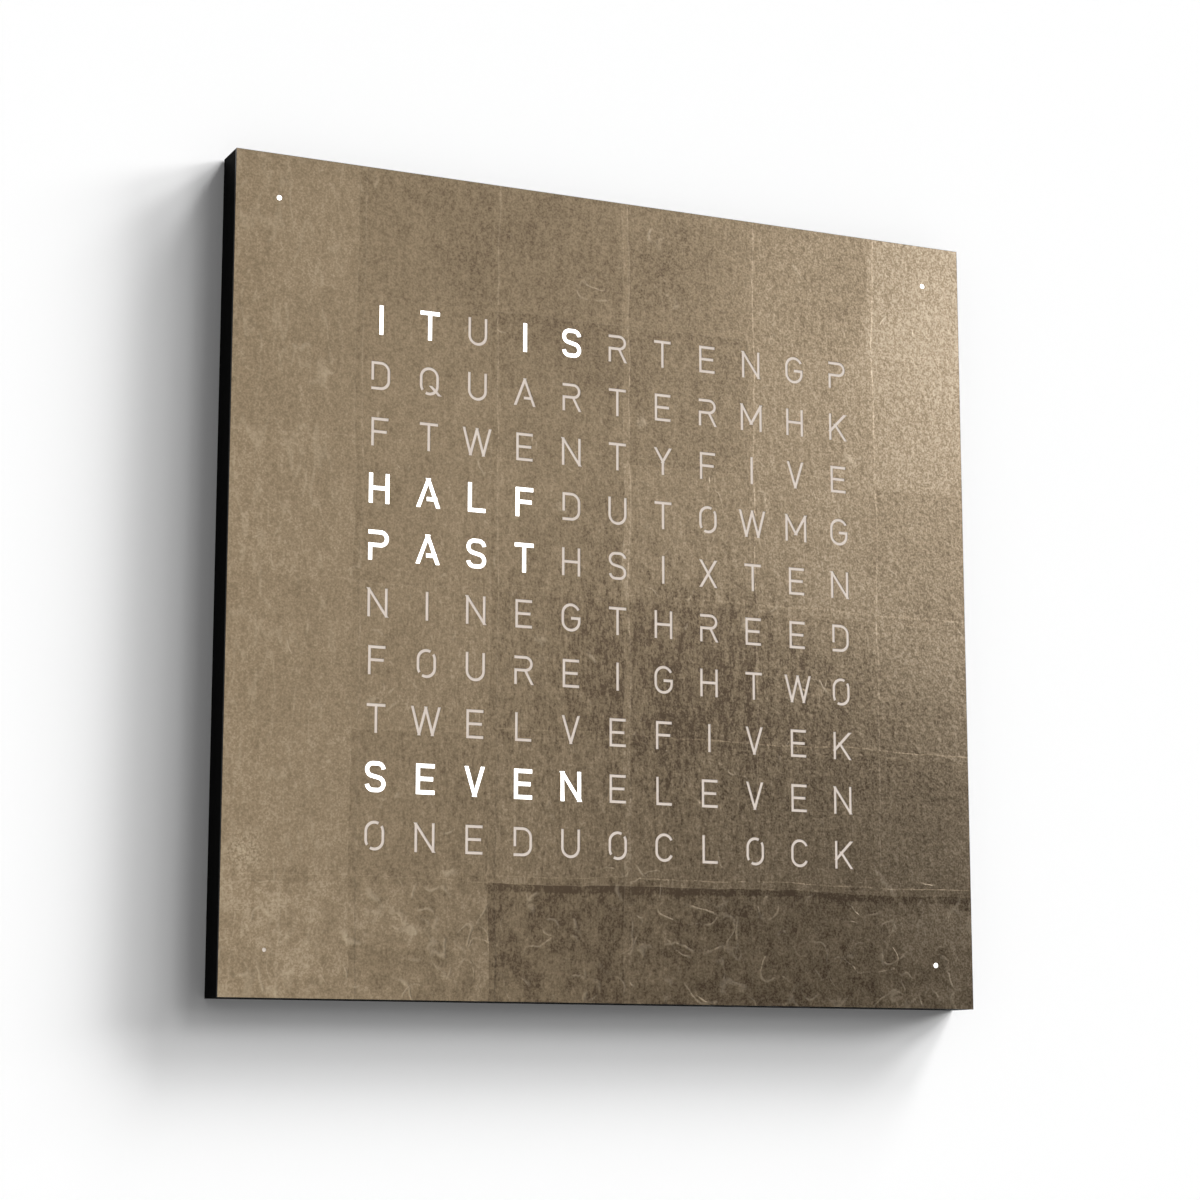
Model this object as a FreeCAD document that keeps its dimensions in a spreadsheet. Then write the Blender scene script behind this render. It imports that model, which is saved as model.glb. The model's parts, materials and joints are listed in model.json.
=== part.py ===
import FreeCAD, Part

import math
import os
import re

import Sketcher

# A wall-hung word clock: a gilded steel face with cut-out letters, held by magnets on a
# shallow lacquered case. X runs to the right, Z up, and the front looks along -Y.
# The origin is the middle of the wall face. Depths are measured from the wall to the front.

sizes = [
    ("case_width", 450.0, "outside of the case and face, along X"),
    ("case_height", 450.0, "outside of the case and face, along Z"),
    ("rail_depth", 19.9, "wall face to the front edge of the rails"),
    ("rail_width", 12.0, "thickness of each rail, seen from the front"),
    ("back_panel_thickness", 4.0, "rear panel, let in flush with the rails"),
    ("panel_rebate", 6.0, "how far the rear panel laps over each rail"),
    ("panel_clearance", 0.25, "gap round the rear panel"),
    ("cover_gap", 0.1, "magnet-held face to the rails"),
    ("plate_thickness", 1.5, "steel face plate"),
    ("diffuser_thickness", 1.0, "translucent sheet behind the face plate"),
    ("diffuser_clearance", 0.5, "diffuser to the rails"),
    ("column_pitch", 28.25, "letter to letter along X"),
    ("row_pitch", 31.03, "letter to letter along Z"),
    ("cap_height", 15.7, "height of the letters"),
    ("letter_stroke", 1.6, "width of the letters' strokes"),
    ("inlay_clearance", 0.04, "letter inlay to its cut-out, each side"),
    ("inlay_recess", 0.1, "letter inlay below the face"),
    ("minute_dot_diameter", 2.2, "corner dots that count single minutes"),
    ("minute_inset", 24.5, "corner dots from the case's outside"),
    ("stud_diameter", 4.0, "locating studs on the face plate"),
    ("stud_length", 7.0, "locating studs behind the face plate"),
    ("stud_clearance", 0.08, "stud to its bore, each side"),
    ("stud_rise", 40.0, "locating studs above the middle"),
    ("magnet_diameter", 8.0, "magnets let into the rails"),
    ("magnet_thickness", 3.0, "magnets let into the rails"),
    ("magnet_recess", 0.2, "magnets below the rails' front edge"),
    ("magnet_clearance", 0.05, "magnet to its bore, each side"),
    ("magnet_offset", 150.0, "magnets from the middle of each rail"),
    ("bracket_leg", 25.0, "corner bracket, each leg"),
    ("bracket_thickness", 2.0, "corner bracket sheet"),
    ("bracket_height", 10.0, "corner bracket, wall to front"),
    ("bracket_rear", 5.5, "corner bracket above the wall face"),
    ("bracket_hole_inset", 17.0, "bracket screw from the inner corner"),
    ("wood_screw_diameter", 3.0, "shank of the wood screws"),
    ("wood_screw_length", 9.0, "wood screws under the head"),
    ("wood_screw_head", 5.6, "head of the wood screws"),
    ("wood_screw_head_height", 1.7, "head of the wood screws"),
    ("screw_sink", 0.1, "screw heads below the wall face"),
    ("screw_hole_clearance", 0.2, "clearance hole round a shank, each side"),
    ("panel_screw_offset", 172.0, "rear panel screws from the middle of each side"),
    ("panel_screw_inset", 3.5, "rear panel screws from the panel's edge"),
    ("hanger_offset", 150.0, "hanger plates from the middle"),
    ("hanger_drop", 30.0, "hanger entry holes below the case's top"),
    ("hanger_width", 30.0, "hanger plate, along X"),
    ("hanger_length", 36.0, "hanger plate, along Z"),
    ("hanger_thickness", 1.5, "hanger plate sheet"),
    ("hanger_entry", 9.0, "round entry of the keyhole"),
    ("hanger_slot", 4.6, "narrow slot of the keyhole"),
    ("hanger_slot_rise", 9.0, "entry centre to the top centre of the slot"),
    ("hanger_hollow", 14.0, "hollow behind the keyhole, along X"),
    ("hanger_hollow_margin", 1.5, "hollow beyond the keyhole's ends"),
    ("hanger_screw_head", 5.0, "head of the hanger screws"),
    ("hanger_screw_head_height", 1.1, "head of the hanger screws"),
    ("hanger_screw_spread", 11.0, "hanger screws each side of the keyhole"),
    ("hanger_screw_length", 2.2, "hanger screws under the head"),
    ("standoff_height", 3.0, "rear panel to the circuit boards"),
    ("standoff_diameter", 6.0, "posts under the circuit boards"),
    ("board_thickness", 1.6, "circuit boards"),
    ("board_margin", 8.8, "lamp board beyond the cell grid"),
    ("board_screw_inset", 4.4, "board screws from the board's edge"),
    ("board_screw_diameter", 2.6, "shank of the board screws"),
    ("board_screw_length", 7.1, "board screws under the head"),
    ("board_screw_head", 5.0, "head of the board screws"),
    ("board_screw_head_height", 1.8, "head of the board screws"),
    ("grid_wall", 2.0, "walls between the light cells"),
    ("grid_gap", 0.3, "cell grid to the diffuser"),
    ("lamp_side", 5.0, "lamp package, square"),
    ("lamp_height", 1.6, "lamp package"),
    ("minute_tube_side", 16.0, "light tube behind a corner dot, outside"),
    ("minute_tube_wall", 1.5, "wall of the light tube"),
    ("controller_left", -100.0, "controller board's left edge"),
    ("controller_width", 240.0, "controller board, along X"),
    ("controller_edge_gap", 3.0, "controller board to the bottom rail"),
    ("controller_board_gap", 3.0, "controller board to the lamp board"),
    ("inlet_inset", 110.0, "power inlet from the controller's right edge"),
    ("inlet_side", 9.0, "power inlet, width and depth"),
    ("inlet_length", 13.0, "power inlet, along Z"),
    ("inlet_gap", 0.2, "power inlet to the bottom rail"),
    ("inlet_mouth", 6.4, "mouth of the power inlet"),
    ("inlet_mouth_depth", 9.5, "depth of the mouth"),
    ("inlet_pin", 2.0, "centre pin of the power inlet"),
    ("inlet_pin_setback", 1.0, "centre pin below the mouth's rim"),
    ("inlet_bore", 8.6, "hole in the bottom rail for the plug"),
    ("button_inset", 80.0, "first push button from the controller's right edge"),
    ("button_pitch", 20.0, "button to button"),
    ("button_axis_rise", 2.4, "button axis in front of the controller board"),
    ("button_diameter", 8.0, "button stem"),
    ("button_clearance", 0.08, "button stem to its bore, each side"),
    ("button_flange", 10.0, "collar that keeps the button in"),
    ("button_flange_height", 1.2, "collar that keeps the button in"),
    ("button_flange_gap", 0.1, "collar to the bottom rail, at rest"),
    ("button_travel", 0.8, "push button travel"),
    ("switch_side", 6.0, "switch body, along X and Z"),
    ("switch_height", 4.8, "switch body, wall to front"),
    ("switch_gap", 0.3, "pressed collar to the switch body"),
    ("plunger_diameter", 3.2, "switch plunger"),
    ("plunger_reach", 3.0, "switch plunger behind the collar"),
    ("plunger_clearance", 0.1, "plunger to its bore, each side"),
    ("processor_inset", 38.0, "microcontroller from the controller's left edge"),
    ("processor_side", 10.0, "microcontroller, square"),
    ("chip_height", 1.4, "microcontroller and driver chips"),
    ("driver_inset", 52.0, "first lamp driver chip from the controller's left edge"),
    ("driver_pitch", 11.0, "driver chip to driver chip"),
    ("driver_width", 7.0, "lamp driver chip, along X"),
    ("driver_length", 9.0, "lamp driver chip, along Z"),
    ("parts_rise", 13.0, "middle of the parts above the bottom rail"),
    ("cell_inset", 90.0, "coin cell from the controller's left edge"),
    ("cell_diameter", 12.5, "coin cell"),
    ("cell_thickness", 2.0, "coin cell"),
    ("holder_wall", 1.2, "wall and floor of the cell's holder"),
    ("cell_clearance", 0.15, "coin cell to its holder"),
    ("capacitor_inset", 96.0, "smoothing capacitor from the controller's right edge"),
    ("capacitor_diameter", 8.0, "smoothing capacitor"),
    ("capacitor_height", 8.0, "smoothing capacitor"),
    ("crystal_inset", 76.0, "clock crystal from the controller's left edge"),
    ("crystal_diameter", 3.0, "clock crystal can"),
    ("crystal_length", 8.0, "clock crystal can"),
    ("ribbon_inset", 18.0, "ribbon cable from the controller's left edge"),
    ("ribbon_width", 12.7, "ribbon cable"),
    ("ribbon_thickness", 0.9, "ribbon cable"),
    ("header_width", 18.0, "ribbon headers, along X"),
    ("header_length", 5.6, "ribbon headers, along Z"),
    ("header_height", 4.0, "ribbon headers"),
    ("socket_height", 2.6, "ribbon sockets on the headers"),
    ("header_inset", 4.4, "headers from their boards' facing edges"),
]

# The letters on the face, top row first, and the ones that light in the state shown.
legend = [
    "ITUISRTENGP",
    "DQUARTERMHK",
    "FTWENTYFIVE",
    "HALFDUTOWMG",
    "PASTHSIXTEN",
    "NINEGTHREED",
    "FOUREIGHTWO",
    "TWELVEFIVEK",
    "SEVENELEVEN",
    "ONEDUOCLOCK",
]
lit_columns = {0: (0, 1, 3, 4), 3: (0, 1, 2, 3), 4: (0, 1, 2, 3), 8: (0, 1, 2, 3, 4)}
lit_corners = [(-1, 1), (1, 1), (1, -1)]
unlit_corners = [(-1, -1)]
column_count = len(legend[0])
row_count = len(legend)
button_count = 4

# Each letter is a set of strokes on a grid that is 14 units high from the middle of the lowest
# stroke to the middle of the highest. A stroke joins points (x, z) and arcs (x, z, radius,
# first angle, last angle) by straight lines. Gaps keep every counter joined to the plate.
glyph_units = 14.0
glyphs = {
    "A": [[(-5.4, 0), (0, 14)], [(0, 14), (5.4, 0)], [(0.2, 3.7), (4.0, 3.7)]],
    "C": [[(0, 9.35, 4.65, 22, 180), (0, 4.65, 4.65, 180, 338)]],
    "D": [[(-4.5, 14), (0.1, 9.4, 4.6, 90, 0), (0.1, 4.6, 4.6, 0, -90), (-4.5, 0)],
          [(-4.5, 14), (-4.5, 5.2)]],
    "E": [[(-4.15, 0), (-4.15, 14)], [(-4.15, 0), (4.15, 0)], [(-4.15, 7.1), (3.3, 7.1)],
          [(-4.15, 14), (4.15, 14)]],
    "F": [[(-4.1, 0), (-4.1, 14)], [(-4.1, 7.1), (3.2, 7.1)], [(-4.1, 14), (4.1, 14)]],
    "G": [[(0, 9.1, 4.9, 25, 180), (0, 4.9, 4.9, 180, 360), (4.9, 6.6)],
          [(0.7, 6.6), (4.9, 6.6)]],
    "H": [[(-4.7, 0), (-4.7, 14)], [(4.7, 0), (4.7, 14)], [(-4.7, 7.1), (4.7, 7.1)]],
    "I": [[(0, 0), (0, 14)]],
    "K": [[(-4.7, 0), (-4.7, 14)], [(-4.3, 4.9), (4.5, 14)], [(-1.3, 8.1), (4.7, 0)]],
    "L": [[(-4.0, 0), (-4.0, 14)], [(-4.0, 0), (4.0, 0)]],
    "M": [[(-6.0, 0), (-6.0, 14)], [(6.0, 0), (6.0, 14)], [(-6.0, 14), (0, 3.6)],
          [(0, 3.6), (6.0, 14)]],
    "N": [[(-4.9, 0), (-4.9, 14)], [(4.9, 0), (4.9, 14)], [(-4.9, 14), (4.9, 0)]],
    "O": [[(0, 4.75, 4.75, 214, 180), (0, 9.25, 4.75, 180, 62)],
          [(0, 9.25, 4.75, 36, 0), (0, 4.75, 4.75, 0, -120)]],
    "P": [[(-4.6, 14), (1.2, 10.5, 3.5, 90, -90), (-4.6, 7)], [(-4.6, 7), (-4.6, 0)]],
    "Q": [[(0, 4.75, 4.75, 216, 180), (0, 9.25, 4.75, 180, 0), (0, 4.75, 4.75, 0, -116)],
          [(1.5, 3.8), (5.4, 0)]],
    "R": [[(-4.6, 14), (1.2, 10.5, 3.5, 90, -90), (-4.6, 7)], [(-4.6, 7), (-4.6, 0)],
          [(1.0, 7), (4.8, 0)]],
    "S": [[(1.3, 10.7, 3.3, 12, 90), (-1.3, 10.7, 3.3, 90, 256.7),
           (1.3, 3.3, 3.3, 76.7, -90), (-1.3, 3.3, 3.3, 270, 192)]],
    "T": [[(-4.5, 14), (4.5, 14)], [(0, 0), (0, 14)]],
    "U": [[(-4.8, 14), (0, 4.8, 4.8, 180, 360), (4.8, 14)]],
    "V": [[(-4.4, 14), (0, 0)], [(0, 0), (4.4, 14)]],
    "W": [[(-7.5, 14), (-3.8, 0)], [(-3.8, 0), (0, 14)], [(0, 14), (3.8, 0)],
          [(3.8, 0), (7.5, 14)]],
    "X": [[(-4.3, 0), (4.3, 14)], [(-4.3, 14), (4.3, 0)]],
    "Y": [[(-4.3, 14), (0, 6.8)], [(0, 6.8), (4.3, 14)], [(0, 0), (0, 6.8)]],
}

doc = FreeCAD.newDocument("WordClock")
sheet = doc.addObject("Spreadsheet::Sheet", "Sizes")
for line, (alias, value, note) in enumerate(sizes, start=1):
    sheet.set(f"A{line}", alias)
    sheet.set(f"B{line}", str(value))
    sheet.set(f"C{line}", note)
    sheet.setAlias(f"B{line}", alias)
doc.recompute()

subparts = []


def bound(expression):
    """The expression with each size's name pointing at its cell in the sheet."""
    return re.sub(r"[a-z]\w*", r"Sizes.\g<0>", expression)


def amount(expression):
    """The present value of an expression, in millimetres."""
    return float(sheet.evalExpression(bound(expression)))


def keep(piece, label):
    piece.Label = label
    subparts.append(piece)
    return piece


def new_body(label):
    return keep(doc.addObject("PartDesign::Body", label), label)


def sketch_on(body, name, role, offset):
    """A sketch on one of the body's origin planes, moved along its normal. On the XZ plane
    it reads x, z and its normal points to the front, so the offset is a depth."""
    plane = next(item for item in body.Origin.OriginFeatures if item.Role == role)
    sketch = body.newObject("Sketcher::SketchObject", name)
    sketch.AttachmentSupport = [(plane, "")]
    sketch.MapMode = "FlatFace"
    sketch.setExpression("AttachmentOffset.Base.z", bound(offset))
    return sketch


def place_point(sketch, geometry, point, across, along):
    """Fix a point of the sketch from its origin by two expressions."""
    for kind, expression in (("DistanceX", across), ("DistanceY", along)):
        index = sketch.addConstraint(
            Sketcher.Constraint(kind, -1, 1, geometry, point, amount(expression)))
        sketch.setExpression(f"Constraints[{index}]", bound(expression))


def polygon(sketch, corners):
    """A closed outline through corners given as pairs of expressions."""
    places = [FreeCAD.Vector(amount(across), amount(along), 0) for across, along in corners]
    first = sketch.GeometryCount
    for index, place in enumerate(places):
        sketch.addGeometry(Part.LineSegment(place, places[(index + 1) % len(places)]))
    for index in range(len(places)):
        following = first + (index + 1) % len(places)
        sketch.addConstraint(Sketcher.Constraint("Coincident", first + index, 2, following, 1))
    for index, (across, along) in enumerate(corners):
        place_point(sketch, first + index, 1, across, along)
    return sketch


def rectangle(sketch, left, low, right, high):
    return polygon(sketch, [(left, low), (right, low), (right, high), (left, high)])


def centred(sketch, across, along, width, height):
    """A rectangle about a middle point, all as expressions."""
    return rectangle(sketch, f"{across} - ({width}) / 2", f"{along} - ({height}) / 2",
                     f"{across} + ({width}) / 2", f"{along} + ({height}) / 2")


def circle(sketch, across, along, diameter):
    centre = FreeCAD.Vector(amount(across), amount(along), 0)
    geometry = sketch.addGeometry(
        Part.Circle(centre, FreeCAD.Vector(0, 0, 1), amount(diameter) / 2))
    index = sketch.addConstraint(Sketcher.Constraint("Diameter", geometry, amount(diameter)))
    sketch.setExpression(f"Constraints[{index}]", bound(diameter))
    if across == along == "0":
        sketch.addConstraint(Sketcher.Constraint("Coincident", geometry, 3, -1, 1))
    else:
        place_point(sketch, geometry, 3, across, along)
    return sketch


def pad(sketch, length):
    feature = sketch.getParentGeoFeatureGroup().newObject("PartDesign::Pad", sketch.Name + "_pad")
    feature.Profile = sketch
    feature.setExpression("Length", bound(length))
    doc.recompute()
    return feature


def pocket(sketch, length, forwards=False):
    """Cut against the sketch's normal, or forwards along it; the cut has to remove something."""
    body = sketch.getParentGeoFeatureGroup()
    before = body.Shape.Volume
    feature = body.newObject("PartDesign::Pocket", sketch.Name + "_pocket")
    feature.Profile = sketch
    feature.Reversed = forwards
    feature.setExpression("Length", bound(length))
    doc.recompute()
    if not body.Shape.Volume < before:
        raise ValueError(f"{sketch.Name} cuts nothing")
    return feature


def mirrored(body, originals, *roles):
    """Copies of features on the far side of the body's origin planes."""
    pattern = body.newObject("PartDesign::MultiTransform", body.Name + "_mirrors")
    pattern.Originals = originals
    steps = []
    for role in roles:
        plane = next(item for item in body.Origin.OriginFeatures if item.Role == role)
        step = body.newObject("PartDesign::Mirrored", body.Name + "_mirror")
        step.MirrorPlane = (plane, [""])
        steps.append(step)
    pattern.Transformations = steps
    body.Tip = pattern
    doc.recompute()
    return pattern


def repeated(body, originals, runs):
    """Copies of features along their first sketch's axes; runs lists (axis, spacing, count)."""
    pattern = body.newObject("PartDesign::MultiTransform", body.Name + "_rows")
    pattern.Originals = originals
    steps = []
    for axis, spacing, count in runs:
        step = body.newObject("PartDesign::LinearPattern", body.Name + "_row")
        step.Direction = (originals[0].Profile[0], [axis])
        step.Mode = "Spacing"
        step.Occurrences = count
        step.setExpression("Offset", bound(spacing))
        steps.append(step)
    pattern.Transformations = steps
    body.Tip = pattern
    doc.recompute()
    return pattern


left_right = "YZ_Plane"
up_down = "XY_Plane"

half_width = "case_width / 2"
half_height = "case_height / 2"
inner_x = "(case_width / 2 - rail_width)"
inner_z = "(case_height / 2 - rail_width)"
cover_rear = "(rail_depth + cover_gap)"
face_front = "(rail_depth + cover_gap + plate_thickness)"
diffuser_rear = "(rail_depth + cover_gap - diffuser_thickness)"
grid_front = "(rail_depth + cover_gap - diffuser_thickness - grid_gap)"
board_rear = "(back_panel_thickness + standoff_height)"
board_front = "(back_panel_thickness + standoff_height + board_thickness)"
panel_x = "(case_width / 2 - rail_width + panel_rebate)"
panel_z = "(case_height / 2 - rail_width + panel_rebate)"
grid_half_x = f"({column_count} * column_pitch + grid_wall) / 2"
grid_half_z = f"({row_count} * row_pitch + grid_wall) / 2"
lamp_board_x = f"({grid_half_x} + board_margin)"
lamp_board_z = f"({grid_half_z} + board_margin)"
first_column = f"-{column_count - 1} / 2 * column_pitch"
last_row = f"-{row_count - 1} / 2 * row_pitch"
controller_right = "(controller_left + controller_width)"
inlet_place = f"({controller_right} - inlet_inset)"
first_button = f"({controller_right} - button_inset)"
minute_x = "(case_width / 2 - minute_inset)"
minute_z = "(case_height / 2 - minute_inset)"


# Letter outlines

def polar(arc, angle, radius):
    """A point at an angle on a circle round the arc's centre."""
    turn = math.radians(angle)
    return arc[0] + radius * math.cos(turn), arc[1] + radius * math.sin(turn)


def to_vector(place):
    return FreeCAD.Vector(place[0], 0, place[1])


def level_stroke(start, finish, half):
    """A slanting stroke whose two ends are cut level, so that it ends flush with the others."""
    lower, upper = sorted((start, finish), key=lambda place: place[1])
    lean = (upper[0] - lower[0]) / (upper[1] - lower[1])
    reach = half * math.hypot(1, lean)
    low = (lower[0] - lean * half, lower[1] - half)
    high = (upper[0] + lean * half, upper[1] + half)
    ring = [(low[0] - reach, low[1]), (low[0] + reach, low[1]),
            (high[0] + reach, high[1]), (high[0] - reach, high[1])]
    return Part.Face(Part.makePolygon([to_vector(place) for place in ring + ring[:1]]))


def ribbon_side(stroke, half, side):
    """Places beside a stroke: one beside each point, three beside each arc."""
    stops = []
    for index, item in enumerate(stroke):
        if len(item) == 2:
            other = stroke[index - 1] if index else stroke[1]
            if len(other) == 2:
                nearby = other
            else:
                nearby = polar(other, other[4] if index else other[3], other[2])
            away = math.atan2(item[1] - nearby[1], item[0] - nearby[0])
            ahead = away if index else away + math.pi
            tip = (item[0] + half * math.cos(away), item[1] + half * math.sin(away))
            stops.append([(tip[0] - side * half * math.sin(ahead),
                           tip[1] + side * half * math.cos(ahead))])
        else:
            turning = 1 if item[4] > item[3] else -1
            radius = item[2] - side * turning * half
            angles = (item[3], (item[3] + item[4]) / 2, item[4])
            stops.append([polar(item, angle, radius) for angle in angles])
    return stops


def ribbon(stroke, half):
    """An upright, level or curved stroke; a straight end reaches half a stroke further."""
    ring = ribbon_side(stroke, half, -1)
    ring += [stop[::-1] for stop in reversed(ribbon_side(stroke, half, 1))]
    edges = []
    for index, stop in enumerate(ring):
        edges.append(Part.makeLine(to_vector(ring[index - 1][-1]), to_vector(stop[0])))
        if len(stop) == 3:
            edges.append(Part.Arc(*[to_vector(place) for place in stop]).toShape())
    return Part.Face(Part.Wire(edges))


def letter_faces(letter, stroke_width, height):
    """The letter's separate outlines, flat on the XZ plane about the middle of its cell."""
    unit = (height - 2 * half_stroke) / glyph_units
    faces = []
    for stroke in glyphs[letter]:
        scaled = [tuple(number * unit for number in item[:3]) + tuple(item[3:])
                  for item in stroke]
        straight = len(scaled) == 2 and len(scaled[0]) == 2 and len(scaled[1]) == 2
        if straight and scaled[0][0] != scaled[1][0] and scaled[0][1] != scaled[1][1]:
            faces.append(level_stroke(scaled[0], scaled[1], stroke_width / 2))
        else:
            faces.append(ribbon(scaled, stroke_width / 2))
    joined = faces[0] if len(faces) == 1 else faces[0].multiFuse(faces[1:]).removeSplitter()
    joined.translate(FreeCAD.Vector(0, 0, -unit * glyph_units / 2))
    return joined.Faces


def legend_faces(stroke_width, lit):
    """Outlines of the lit letters, of the unlit ones, or of all where lit is None."""
    drawn = {}
    faces = []
    for row, letters in enumerate(legend):
        for column, letter in enumerate(letters):
            shines = column in lit_columns.get(row, ())
            if lit is not None and shines != lit:
                continue
            if letter not in drawn:
                drawn[letter] = letter_faces(letter, stroke_width, amount("cap_height"))
            shift = FreeCAD.Vector((column - (column_count - 1) / 2) * amount("column_pitch"), 0,
                                   ((row_count - 1) / 2 - row) * amount("row_pitch"))
            faces += [face.translated(shift) for face in drawn[letter]]
    return faces


def dot_faces(corners, radius):
    """Round corner dots as flat outlines."""
    faces = []
    for across, along in corners:
        centre = FreeCAD.Vector(across * amount(minute_x), 0, along * amount(minute_z))
        edge = Part.Circle(centre, FreeCAD.Vector(0, 1, 0), radius).toShape()
        faces.append(Part.Face(Part.Wire(edge)))
    return faces


def extruded(label, faces, rear, thickness):
    """Flat outlines made solid, from a depth towards the front."""
    flat = doc.addObject("Part::Feature", label + "_outline")
    flat.Shape = faces[0] if len(faces) == 1 else Part.makeCompound(faces)
    piece = keep(doc.addObject("Part::Extrusion", label), label)
    piece.Base = flat
    piece.DirMode = "Custom"
    piece.Dir = FreeCAD.Vector(0, -1, 0)
    piece.Solid = True
    piece.setExpression("LengthFwd", bound(thickness))
    piece.setExpression("Placement.Base.y", bound(f"-{rear}"))
    return piece


half_stroke = amount("letter_stroke") / 2
inlay_stroke = amount("letter_stroke - 2 * inlay_clearance")
inlay_height = "plate_thickness - inlay_recess"

# Face plate: one sheet with all the letters and corner dots cut through it
plate_corners = [(-1, -1), (1, -1), (1, 1), (-1, 1), (-1, -1)]
blank = Part.Face(Part.makePolygon([
    FreeCAD.Vector(across * amount(half_width), 0, along * amount(half_height))
    for across, along in plate_corners]))
openings = legend_faces(amount("letter_stroke"), None)
openings += dot_faces(lit_corners + unlit_corners, amount("minute_dot_diameter") / 2)
extruded("face_plate", blank.cut(openings).Faces, cover_rear, "plate_thickness")

# Letter and dot inlays, standing on the diffuser and filling the cut-outs
inlay_dot = amount("minute_dot_diameter / 2 - inlay_clearance")
extruded("lit_letters", legend_faces(inlay_stroke, True), cover_rear, inlay_height)
extruded("unlit_letters", legend_faces(inlay_stroke, False), cover_rear, inlay_height)
extruded("lit_minute_dots", dot_faces(lit_corners, inlay_dot), cover_rear, inlay_height)
extruded("unlit_minute_dot", dot_faces(unlit_corners, inlay_dot), cover_rear, inlay_height)

# Diffuser: a plain sheet behind the plate, inside the rails
diffuser_sheet = new_body("diffuser_sheet")
sketch = sketch_on(diffuser_sheet, "diffuser_outline", "XZ_Plane", diffuser_rear)
centred(sketch, "0", "0", f"2 * ({inner_x} - diffuser_clearance)",
        f"2 * ({inner_z} - diffuser_clearance)")
pad(sketch, "diffuser_thickness")

# Studs on the plate's rear that drop into bores in the side rails
stud_x = "(case_width / 2 - rail_width / 2)"
locating_studs = new_body("locating_studs")
sketch = sketch_on(locating_studs, "stud_section", "XZ_Plane", f"{cover_rear} - stud_length")
circle(sketch, stud_x, "stud_rise", "stud_diameter")
mirrored(locating_studs, [pad(sketch, "stud_length")], left_right)


# Rails of the case, mitred at the corners and rebated behind for the rear panel

def rail(label, corners):
    body = new_body(label)
    outline = sketch_on(body, label + "_outline", "XZ_Plane", "0")
    pad(polygon(outline, corners), "rail_depth")
    rebate = sketch_on(body, label + "_rebate", "XZ_Plane", "0")
    centred(rebate, "0", "0", f"2 * {panel_x}", f"2 * {panel_z}")
    pocket(rebate, "back_panel_thickness", forwards=True)
    return body


def magnet_bores(body, places):
    bores = sketch_on(body, body.Name + "_magnet_bores", "XZ_Plane", "rail_depth")
    for across, along in places:
        circle(bores, across, along, "magnet_diameter + 2 * magnet_clearance")
    pocket(bores, "magnet_thickness + magnet_recess")


rail_middle_x = "(case_width / 2 - rail_width / 2)"
rail_middle_z = "(case_height / 2 - rail_width / 2)"

for label, side in (("left_rail", "-"), ("right_rail", "")):
    body = rail(label, [(f"{side}{half_width}", f"-{half_height}"),
                        (f"{side}{inner_x}", f"-{inner_z}"),
                        (f"{side}{inner_x}", inner_z),
                        (f"{side}{half_width}", half_height)])
    magnet_bores(body, [(f"{side}{rail_middle_x}", "magnet_offset"),
                        (f"{side}{rail_middle_x}", "-magnet_offset")])
    stud_bore = sketch_on(body, label + "_stud_bore", "XZ_Plane", "rail_depth")
    circle(stud_bore, f"{side}{stud_x}", "stud_rise", "stud_diameter + 2 * stud_clearance")
    pocket(stud_bore, "stud_length + stud_clearance")

for label, side in (("top_rail", ""), ("bottom_rail", "-")):
    body = rail(label, [(f"-{half_width}", f"{side}{half_height}"),
                        (f"-{inner_x}", f"{side}{inner_z}"),
                        (inner_x, f"{side}{inner_z}"),
                        (half_width, f"{side}{half_height}")])
    magnet_bores(body, [("magnet_offset", f"{side}{rail_middle_z}"),
                        ("-magnet_offset", f"{side}{rail_middle_z}")])

bottom_rail = subparts[-1]
button_axis = f"({board_front} + button_axis_rise)"
inlet_axis = f"({board_front} + inlet_side / 2)"
sketch = sketch_on(bottom_rail, "inlet_bore_section", "XY_Plane", f"-{half_height}")
circle(sketch, inlet_place, f"-{inlet_axis}", "inlet_bore")
pocket(sketch, "rail_width", forwards=True)
sketch = sketch_on(bottom_rail, "button_bore_section", "XY_Plane", f"-{half_height}")
circle(sketch, first_button, f"-{button_axis}", "button_diameter + 2 * button_clearance")
bore = pocket(sketch, "rail_width", forwards=True)
repeated(bottom_rail, [bore], [("H_Axis", "button_pitch", button_count)])

# Magnets in the rails' front edges
magnet_rear = "rail_depth - magnet_recess - magnet_thickness"
cover_magnets = new_body("cover_magnets")
magnets = []
for name, across, along in (("side_magnet", rail_middle_x, "magnet_offset"),
                            ("level_magnet", "magnet_offset", rail_middle_z)):
    sketch = sketch_on(cover_magnets, name, "XZ_Plane", magnet_rear)
    circle(sketch, across, along, "magnet_diameter")
    magnets.append(pad(sketch, "magnet_thickness"))
mirrored(cover_magnets, magnets, left_right, up_down)

# Rear panel, with counterbored screw holes and a hollow behind each keyhole
hanger_z = "(case_height / 2 - hanger_drop)"
hanger_middle = "(case_height / 2 - hanger_drop + hanger_slot_rise / 2)"
hollow_height = "hanger_slot_rise + hanger_entry + 2 * hanger_hollow_margin"
panel_screws = [("panel_screw_offset", f"({panel_z} - panel_screw_inset)"),
                (f"({panel_x} - panel_screw_inset)", "panel_screw_offset")]
panel_head = "(screw_sink + wood_screw_head_height)"

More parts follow.
